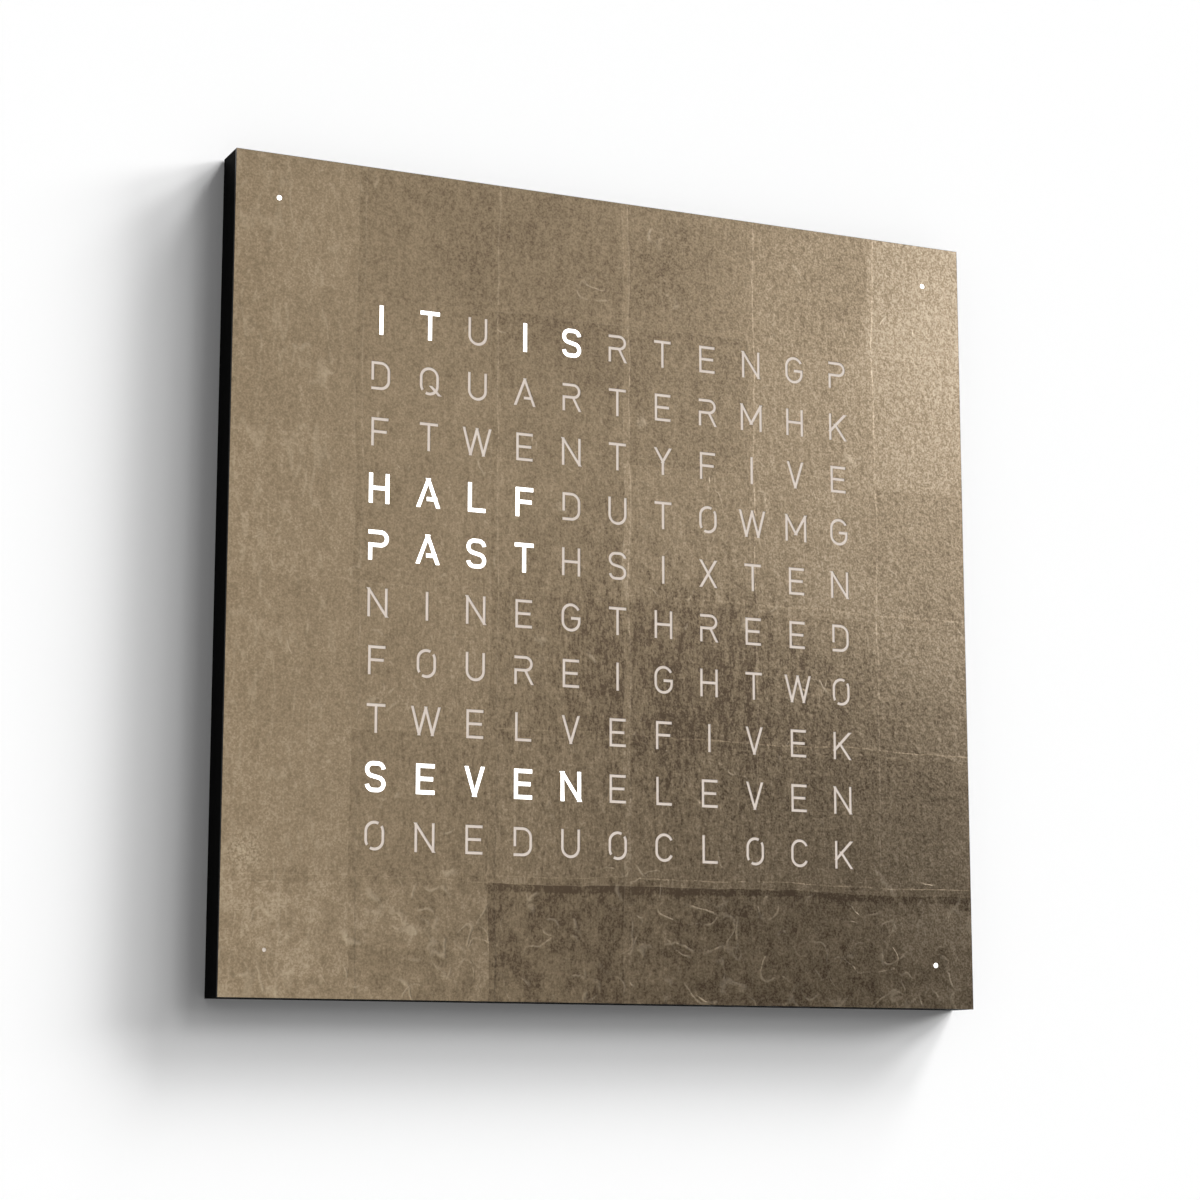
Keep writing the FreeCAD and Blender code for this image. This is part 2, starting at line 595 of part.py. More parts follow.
back_panel = new_body("back_panel")
sketch = sketch_on(back_panel, "panel_outline", "XZ_Plane", "0")
centred(sketch, "0", "0", f"2 * ({panel_x} - panel_clearance)", f"2 * ({panel_z} - panel_clearance)")
pad(sketch, "back_panel_thickness")
sketch = sketch_on(back_panel, "hanger_recess", "XZ_Plane", "0")
centred(sketch, "hanger_offset", hanger_middle, "hanger_width + 2 * panel_clearance",
        "hanger_length + 2 * panel_clearance")
hanger_recess = pocket(sketch, "hanger_thickness", forwards=True)
sketch = sketch_on(back_panel, "hanger_hollow_section", "XZ_Plane", "0")
centred(sketch, "hanger_offset", hanger_middle, "hanger_hollow", hollow_height)
hanger_hollow = pocket(sketch, "back_panel_thickness", forwards=True)
mirrored(back_panel, [hanger_recess, hanger_hollow], left_right)
counterbores = []
for number, (across, along) in enumerate(panel_screws):
    sketch = sketch_on(back_panel, f"panel_counterbore_{number}", "XZ_Plane", "0")
    circle(sketch, across, along, "wood_screw_head + 2 * screw_hole_clearance")
    counterbores.append(pocket(sketch, panel_head, forwards=True))
    sketch = sketch_on(back_panel, f"panel_screw_hole_{number}", "XZ_Plane", "0")
    circle(sketch, across, along, "wood_screw_diameter + 2 * screw_hole_clearance")
    counterbores.append(pocket(sketch, "back_panel_thickness", forwards=True))
mirrored(back_panel, counterbores, left_right, up_down)


def screw(body, name, role, place, head, shank):
    """Head and shank as two discs on one axis; each is (start, length, diameter)."""
    parts = []
    for portion, (start, length, diameter) in (("head", head), ("shank", shank)):
        section = sketch_on(body, f"{name}_{portion}", role, start)
        circle(section, place[0], place[1], diameter)
        parts.append(pad(section, length))
    return parts


back_panel_screws = new_body("back_panel_screws")
fasteners = []
for number, place in enumerate(panel_screws):
    fasteners += screw(back_panel_screws, f"panel_screw_{number}", "XZ_Plane", place,
                       ("screw_sink", "wood_screw_head_height", "wood_screw_head"),
                       (panel_head, "wood_screw_length", "wood_screw_diameter"))
mirrored(back_panel_screws, fasteners, left_right, up_down)

# Corner brackets inside the case, screwed to both rails
bracket_axis = "(bracket_rear + bracket_height / 2)"
bracket_x = f"({inner_x} - bracket_thickness)"
bracket_z = f"({inner_z} - bracket_thickness)"
bracket_hole = "wood_screw_diameter + 2 * screw_hole_clearance"
upright_hole = (f"-{bracket_axis}", f"({inner_z} - bracket_hole_inset)")
level_hole = (f"({inner_x} - bracket_hole_inset)", f"-{bracket_axis}")

corner_brackets = new_body("corner_brackets")
sketch = sketch_on(corner_brackets, "bracket_outline", "XZ_Plane", "bracket_rear")
polygon(sketch, [(inner_x, inner_z), (f"{inner_x} - bracket_leg", inner_z),
                 (f"{inner_x} - bracket_leg", bracket_z), (bracket_x, bracket_z),
                 (bracket_x, f"{inner_z} - bracket_leg"), (inner_x, f"{inner_z} - bracket_leg")])
bracket = [pad(sketch, "bracket_height")]
sketch = sketch_on(corner_brackets, "bracket_upright_hole", "YZ_Plane", bracket_x)
circle(sketch, upright_hole[0], upright_hole[1], bracket_hole)
bracket.append(pocket(sketch, "bracket_thickness", forwards=True))
sketch = sketch_on(corner_brackets, "bracket_level_hole", "XY_Plane", bracket_z)
circle(sketch, level_hole[0], level_hole[1], bracket_hole)
bracket.append(pocket(sketch, "bracket_thickness", forwards=True))
mirrored(corner_brackets, bracket, left_right, up_down)

corner_bracket_screws = new_body("corner_bracket_screws")
fasteners = screw(corner_bracket_screws, "upright_screw", "YZ_Plane", upright_hole,
                  (f"{bracket_x} - wood_screw_head_height", "wood_screw_head_height",
                   "wood_screw_head"),
                  (bracket_x, "wood_screw_length", "wood_screw_diameter"))
fasteners += screw(corner_bracket_screws, "level_screw", "XY_Plane", level_hole,
                   (f"{bracket_z} - wood_screw_head_height", "wood_screw_head_height",
                    "wood_screw_head"),
                   (bracket_z, "wood_screw_length", "wood_screw_diameter"))
mirrored(corner_bracket_screws, fasteners, left_right, up_down)

# Keyhole hanger plates, flush with the wall face
hanger_plates = new_body("hanger_plates")
sketch = sketch_on(hanger_plates, "hanger_outline", "XZ_Plane", "0")
centred(sketch, "hanger_offset", hanger_middle, "hanger_width", "hanger_length")
hanger = [pad(sketch, "hanger_thickness")]
sketch = sketch_on(hanger_plates, "keyhole_entry", "XZ_Plane", "0")
circle(sketch, "hanger_offset", hanger_z, "hanger_entry")
hanger.append(pocket(sketch, "hanger_thickness", forwards=True))
sketch = sketch_on(hanger_plates, "keyhole_slot", "XZ_Plane", "0")
centred(sketch, "hanger_offset", hanger_middle, "hanger_slot", "hanger_slot_rise")
hanger.append(pocket(sketch, "hanger_thickness", forwards=True))
sketch = sketch_on(hanger_plates, "keyhole_end", "XZ_Plane", "0")
circle(sketch, "hanger_offset", f"({hanger_z} + hanger_slot_rise)", "hanger_slot")
hanger.append(pocket(sketch, "hanger_thickness", forwards=True))
hanger_screws = new_body("hanger_screws")
fasteners = []
for name, sign in (("inner", "-"), ("outer", "+")):
    place = (f"(hanger_offset {sign} hanger_screw_spread)", hanger_middle)
    sketch = sketch_on(hanger_plates, f"{name}_counterbore", "XZ_Plane", "0")
    circle(sketch, place[0], place[1], "hanger_screw_head + 2 * screw_hole_clearance")
    hanger.append(pocket(sketch, "screw_sink + hanger_screw_head_height", forwards=True))
    sketch = sketch_on(hanger_plates, f"{name}_screw_hole", "XZ_Plane", "0")
    circle(sketch, place[0], place[1], "board_screw_diameter + 2 * screw_hole_clearance")
    hanger.append(pocket(sketch, "hanger_thickness", forwards=True))
    fasteners += screw(hanger_screws, f"{name}_hanger_screw", "XZ_Plane", place,
                       ("screw_sink", "hanger_screw_head_height", "hanger_screw_head"),
                       ("(screw_sink + hanger_screw_head_height)", "hanger_screw_length",
                        "board_screw_diameter"))
mirrored(hanger_plates, hanger, left_right)
mirrored(hanger_screws, fasteners, left_right)

# Lamp board with one lamp behind each letter, on nine spacers
screw_x = f"({lamp_board_x} - board_screw_inset)"
screw_z = f"({lamp_board_z} - board_screw_inset)"
board_hole = "board_screw_diameter + 2 * screw_hole_clearance"
board_head = (board_front, "board_screw_head_height", "board_screw_head")
board_shank = (f"({board_front} - board_screw_length)", "board_screw_length",
               "board_screw_diameter")

lamp_board = new_body("lamp_board")
sketch = sketch_on(lamp_board, "lamp_board_outline", "XZ_Plane", board_rear)
centred(sketch, "0", "0", f"2 * {lamp_board_x}", f"2 * {lamp_board_z}")
pad(sketch, "board_thickness")
sketch = sketch_on(lamp_board, "lamp_board_hole", "XZ_Plane", board_front)
circle(sketch, screw_x, screw_z, board_hole)
mirrored(lamp_board, [pocket(sketch, "board_thickness")], left_right, up_down)


def spacers(label, place, runs):
    """Tubular posts from the rear panel to a circuit board."""
    body = new_body(label)
    section = sketch_on(body, label + "_section", "XZ_Plane", "back_panel_thickness")
    circle(section, place[0], place[1], "standoff_diameter")
    circle(section, place[0], place[1], board_hole)
    repeated(body, [pad(section, "standoff_height")], runs)


spacers("lamp_board_spacers", (f"-{screw_x}", f"-{screw_z}"),
        [("H_Axis", screw_x, 3), ("V_Axis", screw_z, 3)])
lamp_board_screws = new_body("lamp_board_screws")
fasteners = screw(lamp_board_screws, "lamp_board_screw", "XZ_Plane", (screw_x, screw_z),
                  board_head, board_shank)
mirrored(lamp_board_screws, fasteners, left_right, up_down)

letter_lamps = new_body("letter_lamps")
sketch = sketch_on(letter_lamps, "lamp_outline", "XZ_Plane", board_front)
centred(sketch, first_column, last_row, "lamp_side", "lamp_side")
repeated(letter_lamps, [pad(sketch, "lamp_height")],
         [("H_Axis", "column_pitch", column_count), ("V_Axis", "row_pitch", row_count)])

# Cell grid: a frame of walls that keeps each lamp's light behind its own letter
light_cell_grid = new_body("light_cell_grid")
sketch = sketch_on(light_cell_grid, "grid_outline", "XZ_Plane", board_front)
centred(sketch, "0", "0", f"2 * {grid_half_x}", f"2 * {grid_half_z}")
pad(sketch, f"{grid_front} - {board_front}")
sketch = sketch_on(light_cell_grid, "cell_outline", "XZ_Plane", grid_front)
centred(sketch, first_column, last_row, "column_pitch - grid_wall", "row_pitch - grid_wall")
repeated(light_cell_grid, [pocket(sketch, f"{grid_front} - {board_front}")],
         [("H_Axis", "column_pitch", column_count), ("V_Axis", "row_pitch", row_count)])

# Light tube, lamp and small board behind each corner dot
minute_board_front = "(back_panel_thickness + board_thickness)"
tube_inside = "minute_tube_side - 2 * minute_tube_wall"
for label, rear, side, height in (
        ("minute_boards", "back_panel_thickness", "minute_tube_side", "board_thickness"),
        ("minute_lamps", minute_board_front, "lamp_side", "lamp_height")):
    body = new_body(label)
    sketch = sketch_on(body, label + "_outline", "XZ_Plane", rear)
    centred(sketch, minute_x, minute_z, side, side)
    mirrored(body, [pad(sketch, height)], left_right, up_down)
minute_tubes = new_body("minute_light_tubes")
sketch = sketch_on(minute_tubes, "tube_outline", "XZ_Plane", minute_board_front)
centred(sketch, minute_x, minute_z, "minute_tube_side", "minute_tube_side")
centred(sketch, minute_x, minute_z, tube_inside, tube_inside)
mirrored(minute_tubes, [pad(sketch, f"{grid_front} - {minute_board_front}")],
         left_right, up_down)

# Controller board in the bay under the lamp board
controller_low = f"(controller_edge_gap - {inner_z})"
controller_height = f"({inner_z} - {lamp_board_z} - controller_edge_gap - controller_board_gap)"
controller_middle_x = "(controller_left + controller_width / 2)"
controller_middle_z = f"({controller_low} + {controller_height} / 2)"
corner_x = "(controller_left + board_screw_inset)"
corner_z = f"({controller_low} + board_screw_inset)"
corner_runs = [("H_Axis", "(controller_width - 2 * board_screw_inset)", 2),
               ("V_Axis", f"({controller_height} - 2 * board_screw_inset)", 2)]

controller_board = new_body("controller_board")
sketch = sketch_on(controller_board, "controller_outline", "XZ_Plane", board_rear)
centred(sketch, controller_middle_x, controller_middle_z, "controller_width",
        controller_height)
pad(sketch, "board_thickness")
sketch = sketch_on(controller_board, "controller_hole", "XZ_Plane", board_front)
circle(sketch, corner_x, corner_z, board_hole)
repeated(controller_board, [pocket(sketch, "board_thickness")], corner_runs)
spacers("controller_spacers", (corner_x, corner_z), corner_runs)
controller_screws = new_body("controller_screws")
fasteners = screw(controller_screws, "controller_screw", "XZ_Plane", (corner_x, corner_z),
                  board_head, board_shank)
repeated(controller_screws, fasteners, corner_runs)

parts_z = f"(parts_rise - {inner_z})"


def block(label, across, along, width, length, height):
    """A flat-sided part on the controller board."""
    body = new_body(label)
    outline = sketch_on(body, label + "_outline", "XZ_Plane", board_front)
    centred(outline, across, along, width, length)
    return body, pad(outline, height)


block("microcontroller", "controller_left + processor_inset", parts_z, "processor_side", "processor_side",
      "chip_height")
driver_chips, driver = block("driver_chips", "controller_left + driver_inset", parts_z,
                             "driver_width", "driver_length", "chip_height")
repeated(driver_chips, [driver], [("H_Axis", "driver_pitch", 2)])

smoothing_capacitor = new_body("smoothing_capacitor")
sketch = sketch_on(smoothing_capacitor, "capacitor_section", "XZ_Plane", board_front)
circle(sketch, f"{controller_right} - capacitor_inset", parts_z, "capacitor_diameter")
pad(sketch, "capacitor_height")

clock_crystal = new_body("clock_crystal")
sketch = sketch_on(clock_crystal, "crystal_section", "YZ_Plane",
                   "controller_left + crystal_inset - crystal_length / 2")
circle(sketch, f"-({board_front} + crystal_diameter / 2)", parts_z, "crystal_diameter")
pad(sketch, "crystal_length")

cell_place = "controller_left + cell_inset"
cell_seat = "cell_diameter + 2 * cell_clearance"
cell_holder = new_body("cell_holder")
sketch = sketch_on(cell_holder, "holder_outline", "XZ_Plane", board_front)
circle(sketch, cell_place, parts_z, f"{cell_seat} + 2 * holder_wall")
pad(sketch, "holder_wall + cell_thickness")
sketch = sketch_on(cell_holder, "holder_seat", "XZ_Plane", f"{board_front} + holder_wall")
circle(sketch, cell_place, parts_z, cell_seat)
pocket(sketch, "cell_thickness", forwards=True)
coin_cell = new_body("coin_cell")
sketch = sketch_on(coin_cell, "cell_section", "XZ_Plane", f"{board_front} + holder_wall")
circle(sketch, cell_place, parts_z, "cell_diameter")
pad(sketch, "cell_thickness")

# Power inlet, mouth downwards behind the hole in the bottom rail
inlet_low = f"(inlet_gap - {inner_z})"
power_inlet, _ = block("power_inlet", inlet_place, f"({inlet_low} + inlet_length / 2)",
                       "inlet_side", "inlet_length", "inlet_side")
sketch = sketch_on(power_inlet, "inlet_mouth_section", "XY_Plane", inlet_low)
circle(sketch, inlet_place, f"-{inlet_axis}", "inlet_mouth")
pocket(sketch, "inlet_mouth_depth", forwards=True)
sketch = sketch_on(power_inlet, "inlet_pin_section", "XY_Plane",
                   f"{inlet_low} + inlet_pin_setback")
circle(sketch, inlet_place, f"-{inlet_axis}", "inlet_pin")
pad(sketch, "inlet_mouth_depth - inlet_pin_setback")

# Ribbon cable between the two boards, with a header and a socket at each end
ribbon_place = "controller_left + ribbon_inset"
header_zs = {"controller": f"({controller_low} + {controller_height} - header_inset)",
             "lamp": f"(header_inset - {lamp_board_z})"}
header_front = f"({board_front} + header_height)"
ribbon_rear = f"({header_front} + socket_height)"
header_span = f"({header_zs['lamp']} - {header_zs['controller']})"
for label, rear, height in (("ribbon_headers", board_front, "header_height"),
                            ("ribbon_sockets", header_front, "socket_height")):
    body = new_body(label)
    sketch = sketch_on(body, label + "_outline", "XZ_Plane", rear)
    centred(sketch, ribbon_place, header_zs["controller"], "header_width", "header_length")
    repeated(body, [pad(sketch, height)], [("V_Axis", header_span, 2)])
ribbon_cable = new_body("ribbon_cable")
sketch = sketch_on(ribbon_cable, "ribbon_outline", "XZ_Plane", ribbon_rear)
centred(sketch, ribbon_place, f"({header_zs['controller']} + {header_span} / 2)",
        "ribbon_width", f"{header_span} + header_length")
pad(sketch, "ribbon_thickness")

# Switches behind the push buttons, each with a blind bore for its plunger
collar_low = f"(button_flange_gap - {inner_z})"
switch_low = f"({collar_low} + button_flange_height + button_travel + switch_gap)"
tact_switches, switch = block("tact_switches", first_button,
                              f"({switch_low} + switch_side / 2)", "switch_side",
                              "switch_side", "switch_height")
sketch = sketch_on(tact_switches, "plunger_bore", "XY_Plane", switch_low)
circle(sketch, first_button, f"-{button_axis}", "plunger_diameter + 2 * plunger_clearance")
plunger_bore = pocket(sketch, "plunger_reach", forwards=True)
repeated(tact_switches, [switch, plunger_bore], [("H_Axis", "button_pitch", button_count)])


def button_piece(label, number, discs):
    """Coaxial discs of one button, each (start above the case's underside, length, diameter)."""
    body = new_body(f"{label}_{number + 1}")
    for order, (start, length, diameter) in enumerate(discs):
        section = sketch_on(body, f"{label}_{number + 1}_disc_{order}", "XY_Plane", start)
        circle(section, "0", "0", diameter)
        pad(section, length)
    body.setExpression("Placement.Base.x", bound(f"{first_button} + {number} * button_pitch"))
    body.setExpression("Placement.Base.y", bound(f"-{button_axis}"))
    body.setExpression("Placement.Base.z", bound(f"-{half_height}"))


stem_length = "(rail_width + button_flange_gap)"
for number in range(button_count):
    button_piece("button_cap", number,
                 [("0", stem_length, "button_diameter"),
                  (stem_length, "button_flange_height", "button_flange")])
    button_piece("switch_plunger", number,
                 [(f"{stem_length} + button_flange_height", "plunger_reach",
                   "plunger_diameter")])

doc.recompute()
faults = [item.Label for item in doc.Objects
          if any(word in state for state in item.State for word in ("Invalid", "Error"))]
faults += [piece.Label for piece in subparts
           if piece.Shape.isNull() or not piece.Shape.isValid() or not piece.Shape.Solids]
if faults:
    raise RuntimeError("failed: " + ", ".join(faults))

os.makedirs("parts", exist_ok=True)
for piece in subparts:
    piece.Shape.exportStep(f"parts/{piece.Label}.step")
    print(piece.Label, len(piece.Shape.Solids), "solids",
          round(piece.Shape.Volume / 1000, 2), "cm3")
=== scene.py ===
import json
import math

import bmesh
import bpy
import numpy as np
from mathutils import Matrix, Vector


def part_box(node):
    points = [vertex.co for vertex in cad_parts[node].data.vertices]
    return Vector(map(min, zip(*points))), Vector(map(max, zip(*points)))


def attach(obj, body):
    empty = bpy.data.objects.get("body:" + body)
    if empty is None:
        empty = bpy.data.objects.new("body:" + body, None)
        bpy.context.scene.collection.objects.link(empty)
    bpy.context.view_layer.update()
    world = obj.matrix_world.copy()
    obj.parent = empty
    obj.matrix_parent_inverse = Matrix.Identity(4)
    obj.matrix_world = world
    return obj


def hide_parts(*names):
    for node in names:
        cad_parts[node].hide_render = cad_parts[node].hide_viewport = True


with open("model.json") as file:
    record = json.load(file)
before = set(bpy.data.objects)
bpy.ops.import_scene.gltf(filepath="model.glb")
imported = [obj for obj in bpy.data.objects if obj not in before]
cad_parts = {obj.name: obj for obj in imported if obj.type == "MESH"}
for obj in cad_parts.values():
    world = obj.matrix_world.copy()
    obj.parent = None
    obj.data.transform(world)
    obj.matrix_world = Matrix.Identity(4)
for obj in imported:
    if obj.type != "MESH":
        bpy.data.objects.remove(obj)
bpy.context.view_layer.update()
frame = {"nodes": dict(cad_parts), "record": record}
nodes = frame["nodes"]
mm = 0.001
print("frame loaded:", len(nodes), "nodes")

camera = {
    "place": (-0.66584, -1.42909, -0.27812),    # metres from the middle of the wall face
    "heading": (0.41552, 0.89288, 0.17355),
    "lens": 85.74,                              # millimetres on a 36 mm wide sensor
}
studio = {
    "wallSize": 6.0,
    "wallGap": 0.4 * mm,            # wall behind the clock's rear face
    "floorDrop": 0.9,               # floor below the clock's middle
    "wallColour": "FFFFFF",
    "fill": 0.25,                   # light from all round
    # each lamp's angles to the right of the face's normal and upwards, its width, and the share
    # of the wall's light that it gives
    "lamps": {
        "lowRight": ((72.7, 17.2), 16.0, 0.18),
        "lowMiddle": ((69.4, 36.2), 16.0, 0.21),
        "lowTop": ((60.8, 54.4), 16.0, 0.18),
        "highRight": ((41.5, 13.6), 20.0, 0.09),
        "highTop": ((28.4, 34.2), 20.0, 0.09),
    },
    # the lamp that only the metal shows: angles, width, strength, and a colour cooler than the
    # leaf's, so that the sheen is paler
    "sheen": ((47.0, 16.0), 22.0, 0.42, (0.93, 1.0, 1.18)),
    "card": {"towards": (36.5, -9.0), "distance": 1.6, "width": 0.85, "height": 0.85,
             "colour": "101010"},
    "rearLamp": {"heading": (-0.3, -1.0, -0.45), "spread": 30.0, "strength": 2.6},
}


def linearColour(hexText):
    # sRGB hex to the linear values that the shaders use
    channels = [int(hexText[start:start + 2], 16) / 255 for start in (0, 2, 4)]
    return [c / 12.92 if c <= 0.04045 else ((c + 0.055) / 1.055) ** 2.4 for c in channels] + [1.0]


def addNode(tree, kind, settings, *values):
    # settings name the node's choices and sockets, and the values after them go to its first
    # sockets in their order; a node or a socket given as a value is linked
    node = tree.nodes.new("ShaderNode" + kind)
    for key, value in (*settings.items(), *enumerate(values)):
        if isinstance(value, bpy.types.Node):
            value = value.outputs[0]
        if isinstance(value, bpy.types.NodeSocket):
            tree.links.new(value, node.inputs[key])
        elif key == "stops":
            elements = node.color_ramp.elements
            while len(elements) < len(value):
                elements.new(0.5)
            for element, (place, colour) in zip(elements, value):
                element.position = place
                element.color = linearColour(colour)
        elif isinstance(key, int) or key in node.inputs:
            node.inputs[key].default_value = value
        else:
            setattr(node, key, value)
    return node


# how the nodes that are used again and again are set
add = {"operation": "ADD"}
subtract = {"operation": "SUBTRACT"}
multiply = {"operation": "MULTIPLY"}
multiplyAdd = {"operation": "MULTIPLY_ADD"}
larger = {"operation": "MAXIMUM"}
smaller = {"operation": "MINIMUM"}
absolute = {"operation": "ABSOLUTE"}
distance = {"operation": "DISTANCE"}
smooth = {"interpolation_type": "SMOOTHSTEP"}


def meshPiece(name, vertices, faces):
    mesh = bpy.data.meshes.new(name)
    mesh.from_pydata(np.asarray(vertices).tolist(), [], np.asarray(faces).tolist())
    mesh.update()
    piece = bpy.data.objects.new(name, mesh)
    bpy.context.scene.collection.objects.link(piece)
    return piece


def addCamera():
    data = bpy.data.cameras.new("photoCamera")
    data.lens = camera["lens"]
    data.sensor_width = 36.0
    data.clip_end = 20.0
    holder = bpy.data.objects.new("photoCamera", data)
    holder.location = camera["place"]
    holder.rotation_euler = Vector(camera["heading"]).to_track_quat("-Z", "Y").to_euler()
    bpy.context.scene.collection.objects.link(holder)
    bpy.context.scene.camera = holder


def backdropMaterial():
    # white painted wall; its back lets sight and light through, so that the clock's rear shows
    material = bpy.data.materials.new("mattWhiteWallPaint")
    material.use_nodes = True
    tree = material.node_tree
    tree.nodes.clear()
    paint = addNode(tree, "BsdfDiffuse", {"Color": linearColour(studio["wallColour"])})
    clear = addNode(tree, "BsdfTransparent", {})
    side = addNode(tree, "NewGeometry", {})
    path = addNode(tree, "LightPath", {})
    through = addNode(tree, "Math", larger, side.outputs["Backfacing"],
                      path.outputs["Is Shadow Ray"])
    mix = addNode(tree, "MixShader", {}, through, paint, clear)
    addNode(tree, "OutputMaterial", {"Surface": mix})
    return material


def addBackdrop():
    half = studio["wallSize"] / 2
    gap = studio["wallGap"]
    drop = -studio["floorDrop"]
    wall = [(-half, gap, drop), (half, gap, drop), (half, gap, half), (-half, gap, half)]
    floor = [(-half, -half, drop), (half, -half, drop), (half, gap, drop), (-half, gap, drop)]
    material = backdropMaterial()
    for name, corners in (("studioWall", wall), ("studioFloor", floor)):
        plane = meshPiece(name, corners, [(0, 1, 2, 3)])
        plane.data.materials.append(material)
        plane.visible_diffuse = name == "studioWall"    # the floor throws no light up the wall


def direction(right, up):
    # from the clock, by the angles to the right of the face's normal and upwards
    right, up = math.radians(right), math.radians(up)
    return np.array([math.sin(right) * math.cos(up), -math.cos(right) * math.cos(up),
                     math.sin(up)])


def addCard():
    # dark card to the right of the lens, seen only in reflections, which deepens the metal's tone
    values = studio["card"]
    aim = direction(*values["towards"])
    across = np.array([-aim[1], aim[0], 0.0]) / math.hypot(aim[0], aim[1])
    upward = np.cross(across, aim)
    reach, width, height = values["distance"], values["width"] / 2, values["height"] / 2
    corners = [aim * reach + across * x * width + upward * z * height
               for x, z in ((-1, -1), (1, -1), (1, 1), (-1, 1))]
    card = meshPiece("studioCard", corners, [(0, 1, 2, 3)])
    material = bpy.data.materials.new("darkFeltCard")
    material.use_nodes = True
    material.node_tree.nodes.clear()
    felt = addNode(material.node_tree, "BsdfDiffuse", {"Color": linearColour(values["colour"])})
    addNode(material.node_tree, "OutputMaterial", {"Surface": felt})
    card.data.materials.append(material)
    card.visible_camera = False
    card.visible_diffuse = False
    card.visible_shadow = False


def addSun(name, heading, spread, strength, inMetal=True, onWall=True):
    data = bpy.data.lights.new(name, "SUN")
    data.angle = math.radians(spread)
    data.energy = strength
    lamp = bpy.data.objects.new(name, data)
    lamp.rotation_euler = Vector(heading).to_track_quat("-Z", "Y").to_euler()
    lamp.visible_glossy = inMetal
    lamp.visible_diffuse = onWall
    bpy.context.scene.collection.objects.link(lamp)


def addLamps():
    # a white wall lit by a share alone comes out at that share of white
    for name, (towards, spread, share) in studio["lamps"].items():
        aim = direction(*towards)
        addSun(name, -aim, spread, share * math.pi / -aim[1], inMetal=False)
    towards, spread, strength, colour = studio["sheen"]
    addSun("sheen", -direction(*towards), spread, strength, onWall=False)
    bpy.data.lights["sheen"].color = colour
    rear = studio["rearLamp"]
    addSun("rearLamp", rear["heading"], rear["spread"], rear["strength"])


def addWorld():
    # white for the camera and in reflections, dim for the light that it gives
    world = bpy.data.worlds.new("softStudio")
    bpy.context.scene.world = world
    world.use_nodes = True
    tree = world.node_tree
    tree.nodes.clear()
    path = addNode(tree, "LightPath", {})
    seen = addNode(tree, "Math", larger, path.outputs["Is Camera Ray"],
                   path.outputs["Is Glossy Ray"])
    seen = addNode(tree, "Math", larger, seen, path.outputs["Is Transmission Ray"])
    level = addNode(tree, "MapRange", {"To Min": studio["fill"], "To Max": 1.0, "Value": seen})
    sky = addNode(tree, "Background", {"Color": linearColour("FFFFFF"), "Strength": level})
    addNode(tree, "OutputWorld", {"Surface": sky})


addCamera()
addBackdrop()
addCard()
addLamps()
addWorld()
bpy.context.scene.view_settings.view_transform = "Standard"
print("camera, backdrop and lamps set")


def newFinish(name, colour, metallic, roughness, extras=None):
    # a Principled material with its object coordinates in millimetres, ready for its patterns
    material = bpy.data.materials.new(name)
    material.use_nodes = True
    tree = material.node_tree
    shader = tree.nodes["Principled BSDF"]
    shader.inputs["Base Color"].default_value = linearColour(colour)
    shader.inputs["Metallic"].default_value = metallic
    shader.inputs["Roughness"].default_value = roughness
    for socket, value in (extras or {}).items():
        shader.inputs[socket].default_value = value
    place = addNode(tree, "TexCoord", {}).outputs["Object"]
    flat = addNode(tree, "Mapping", {"Vector": place, "Scale": (1 / mm, 1 / mm, 1 / mm)})
    return material, tree, shader, flat


def weigh(tree, start, patterns):
    # start plus each pattern's distance from its middle value times its weight
    total = start - sum(weight for pattern, weight in patterns) / 2
    for pattern, weight in patterns:
        total = addNode(tree, "Math", multiplyAdd, pattern, weight, total)
    return total


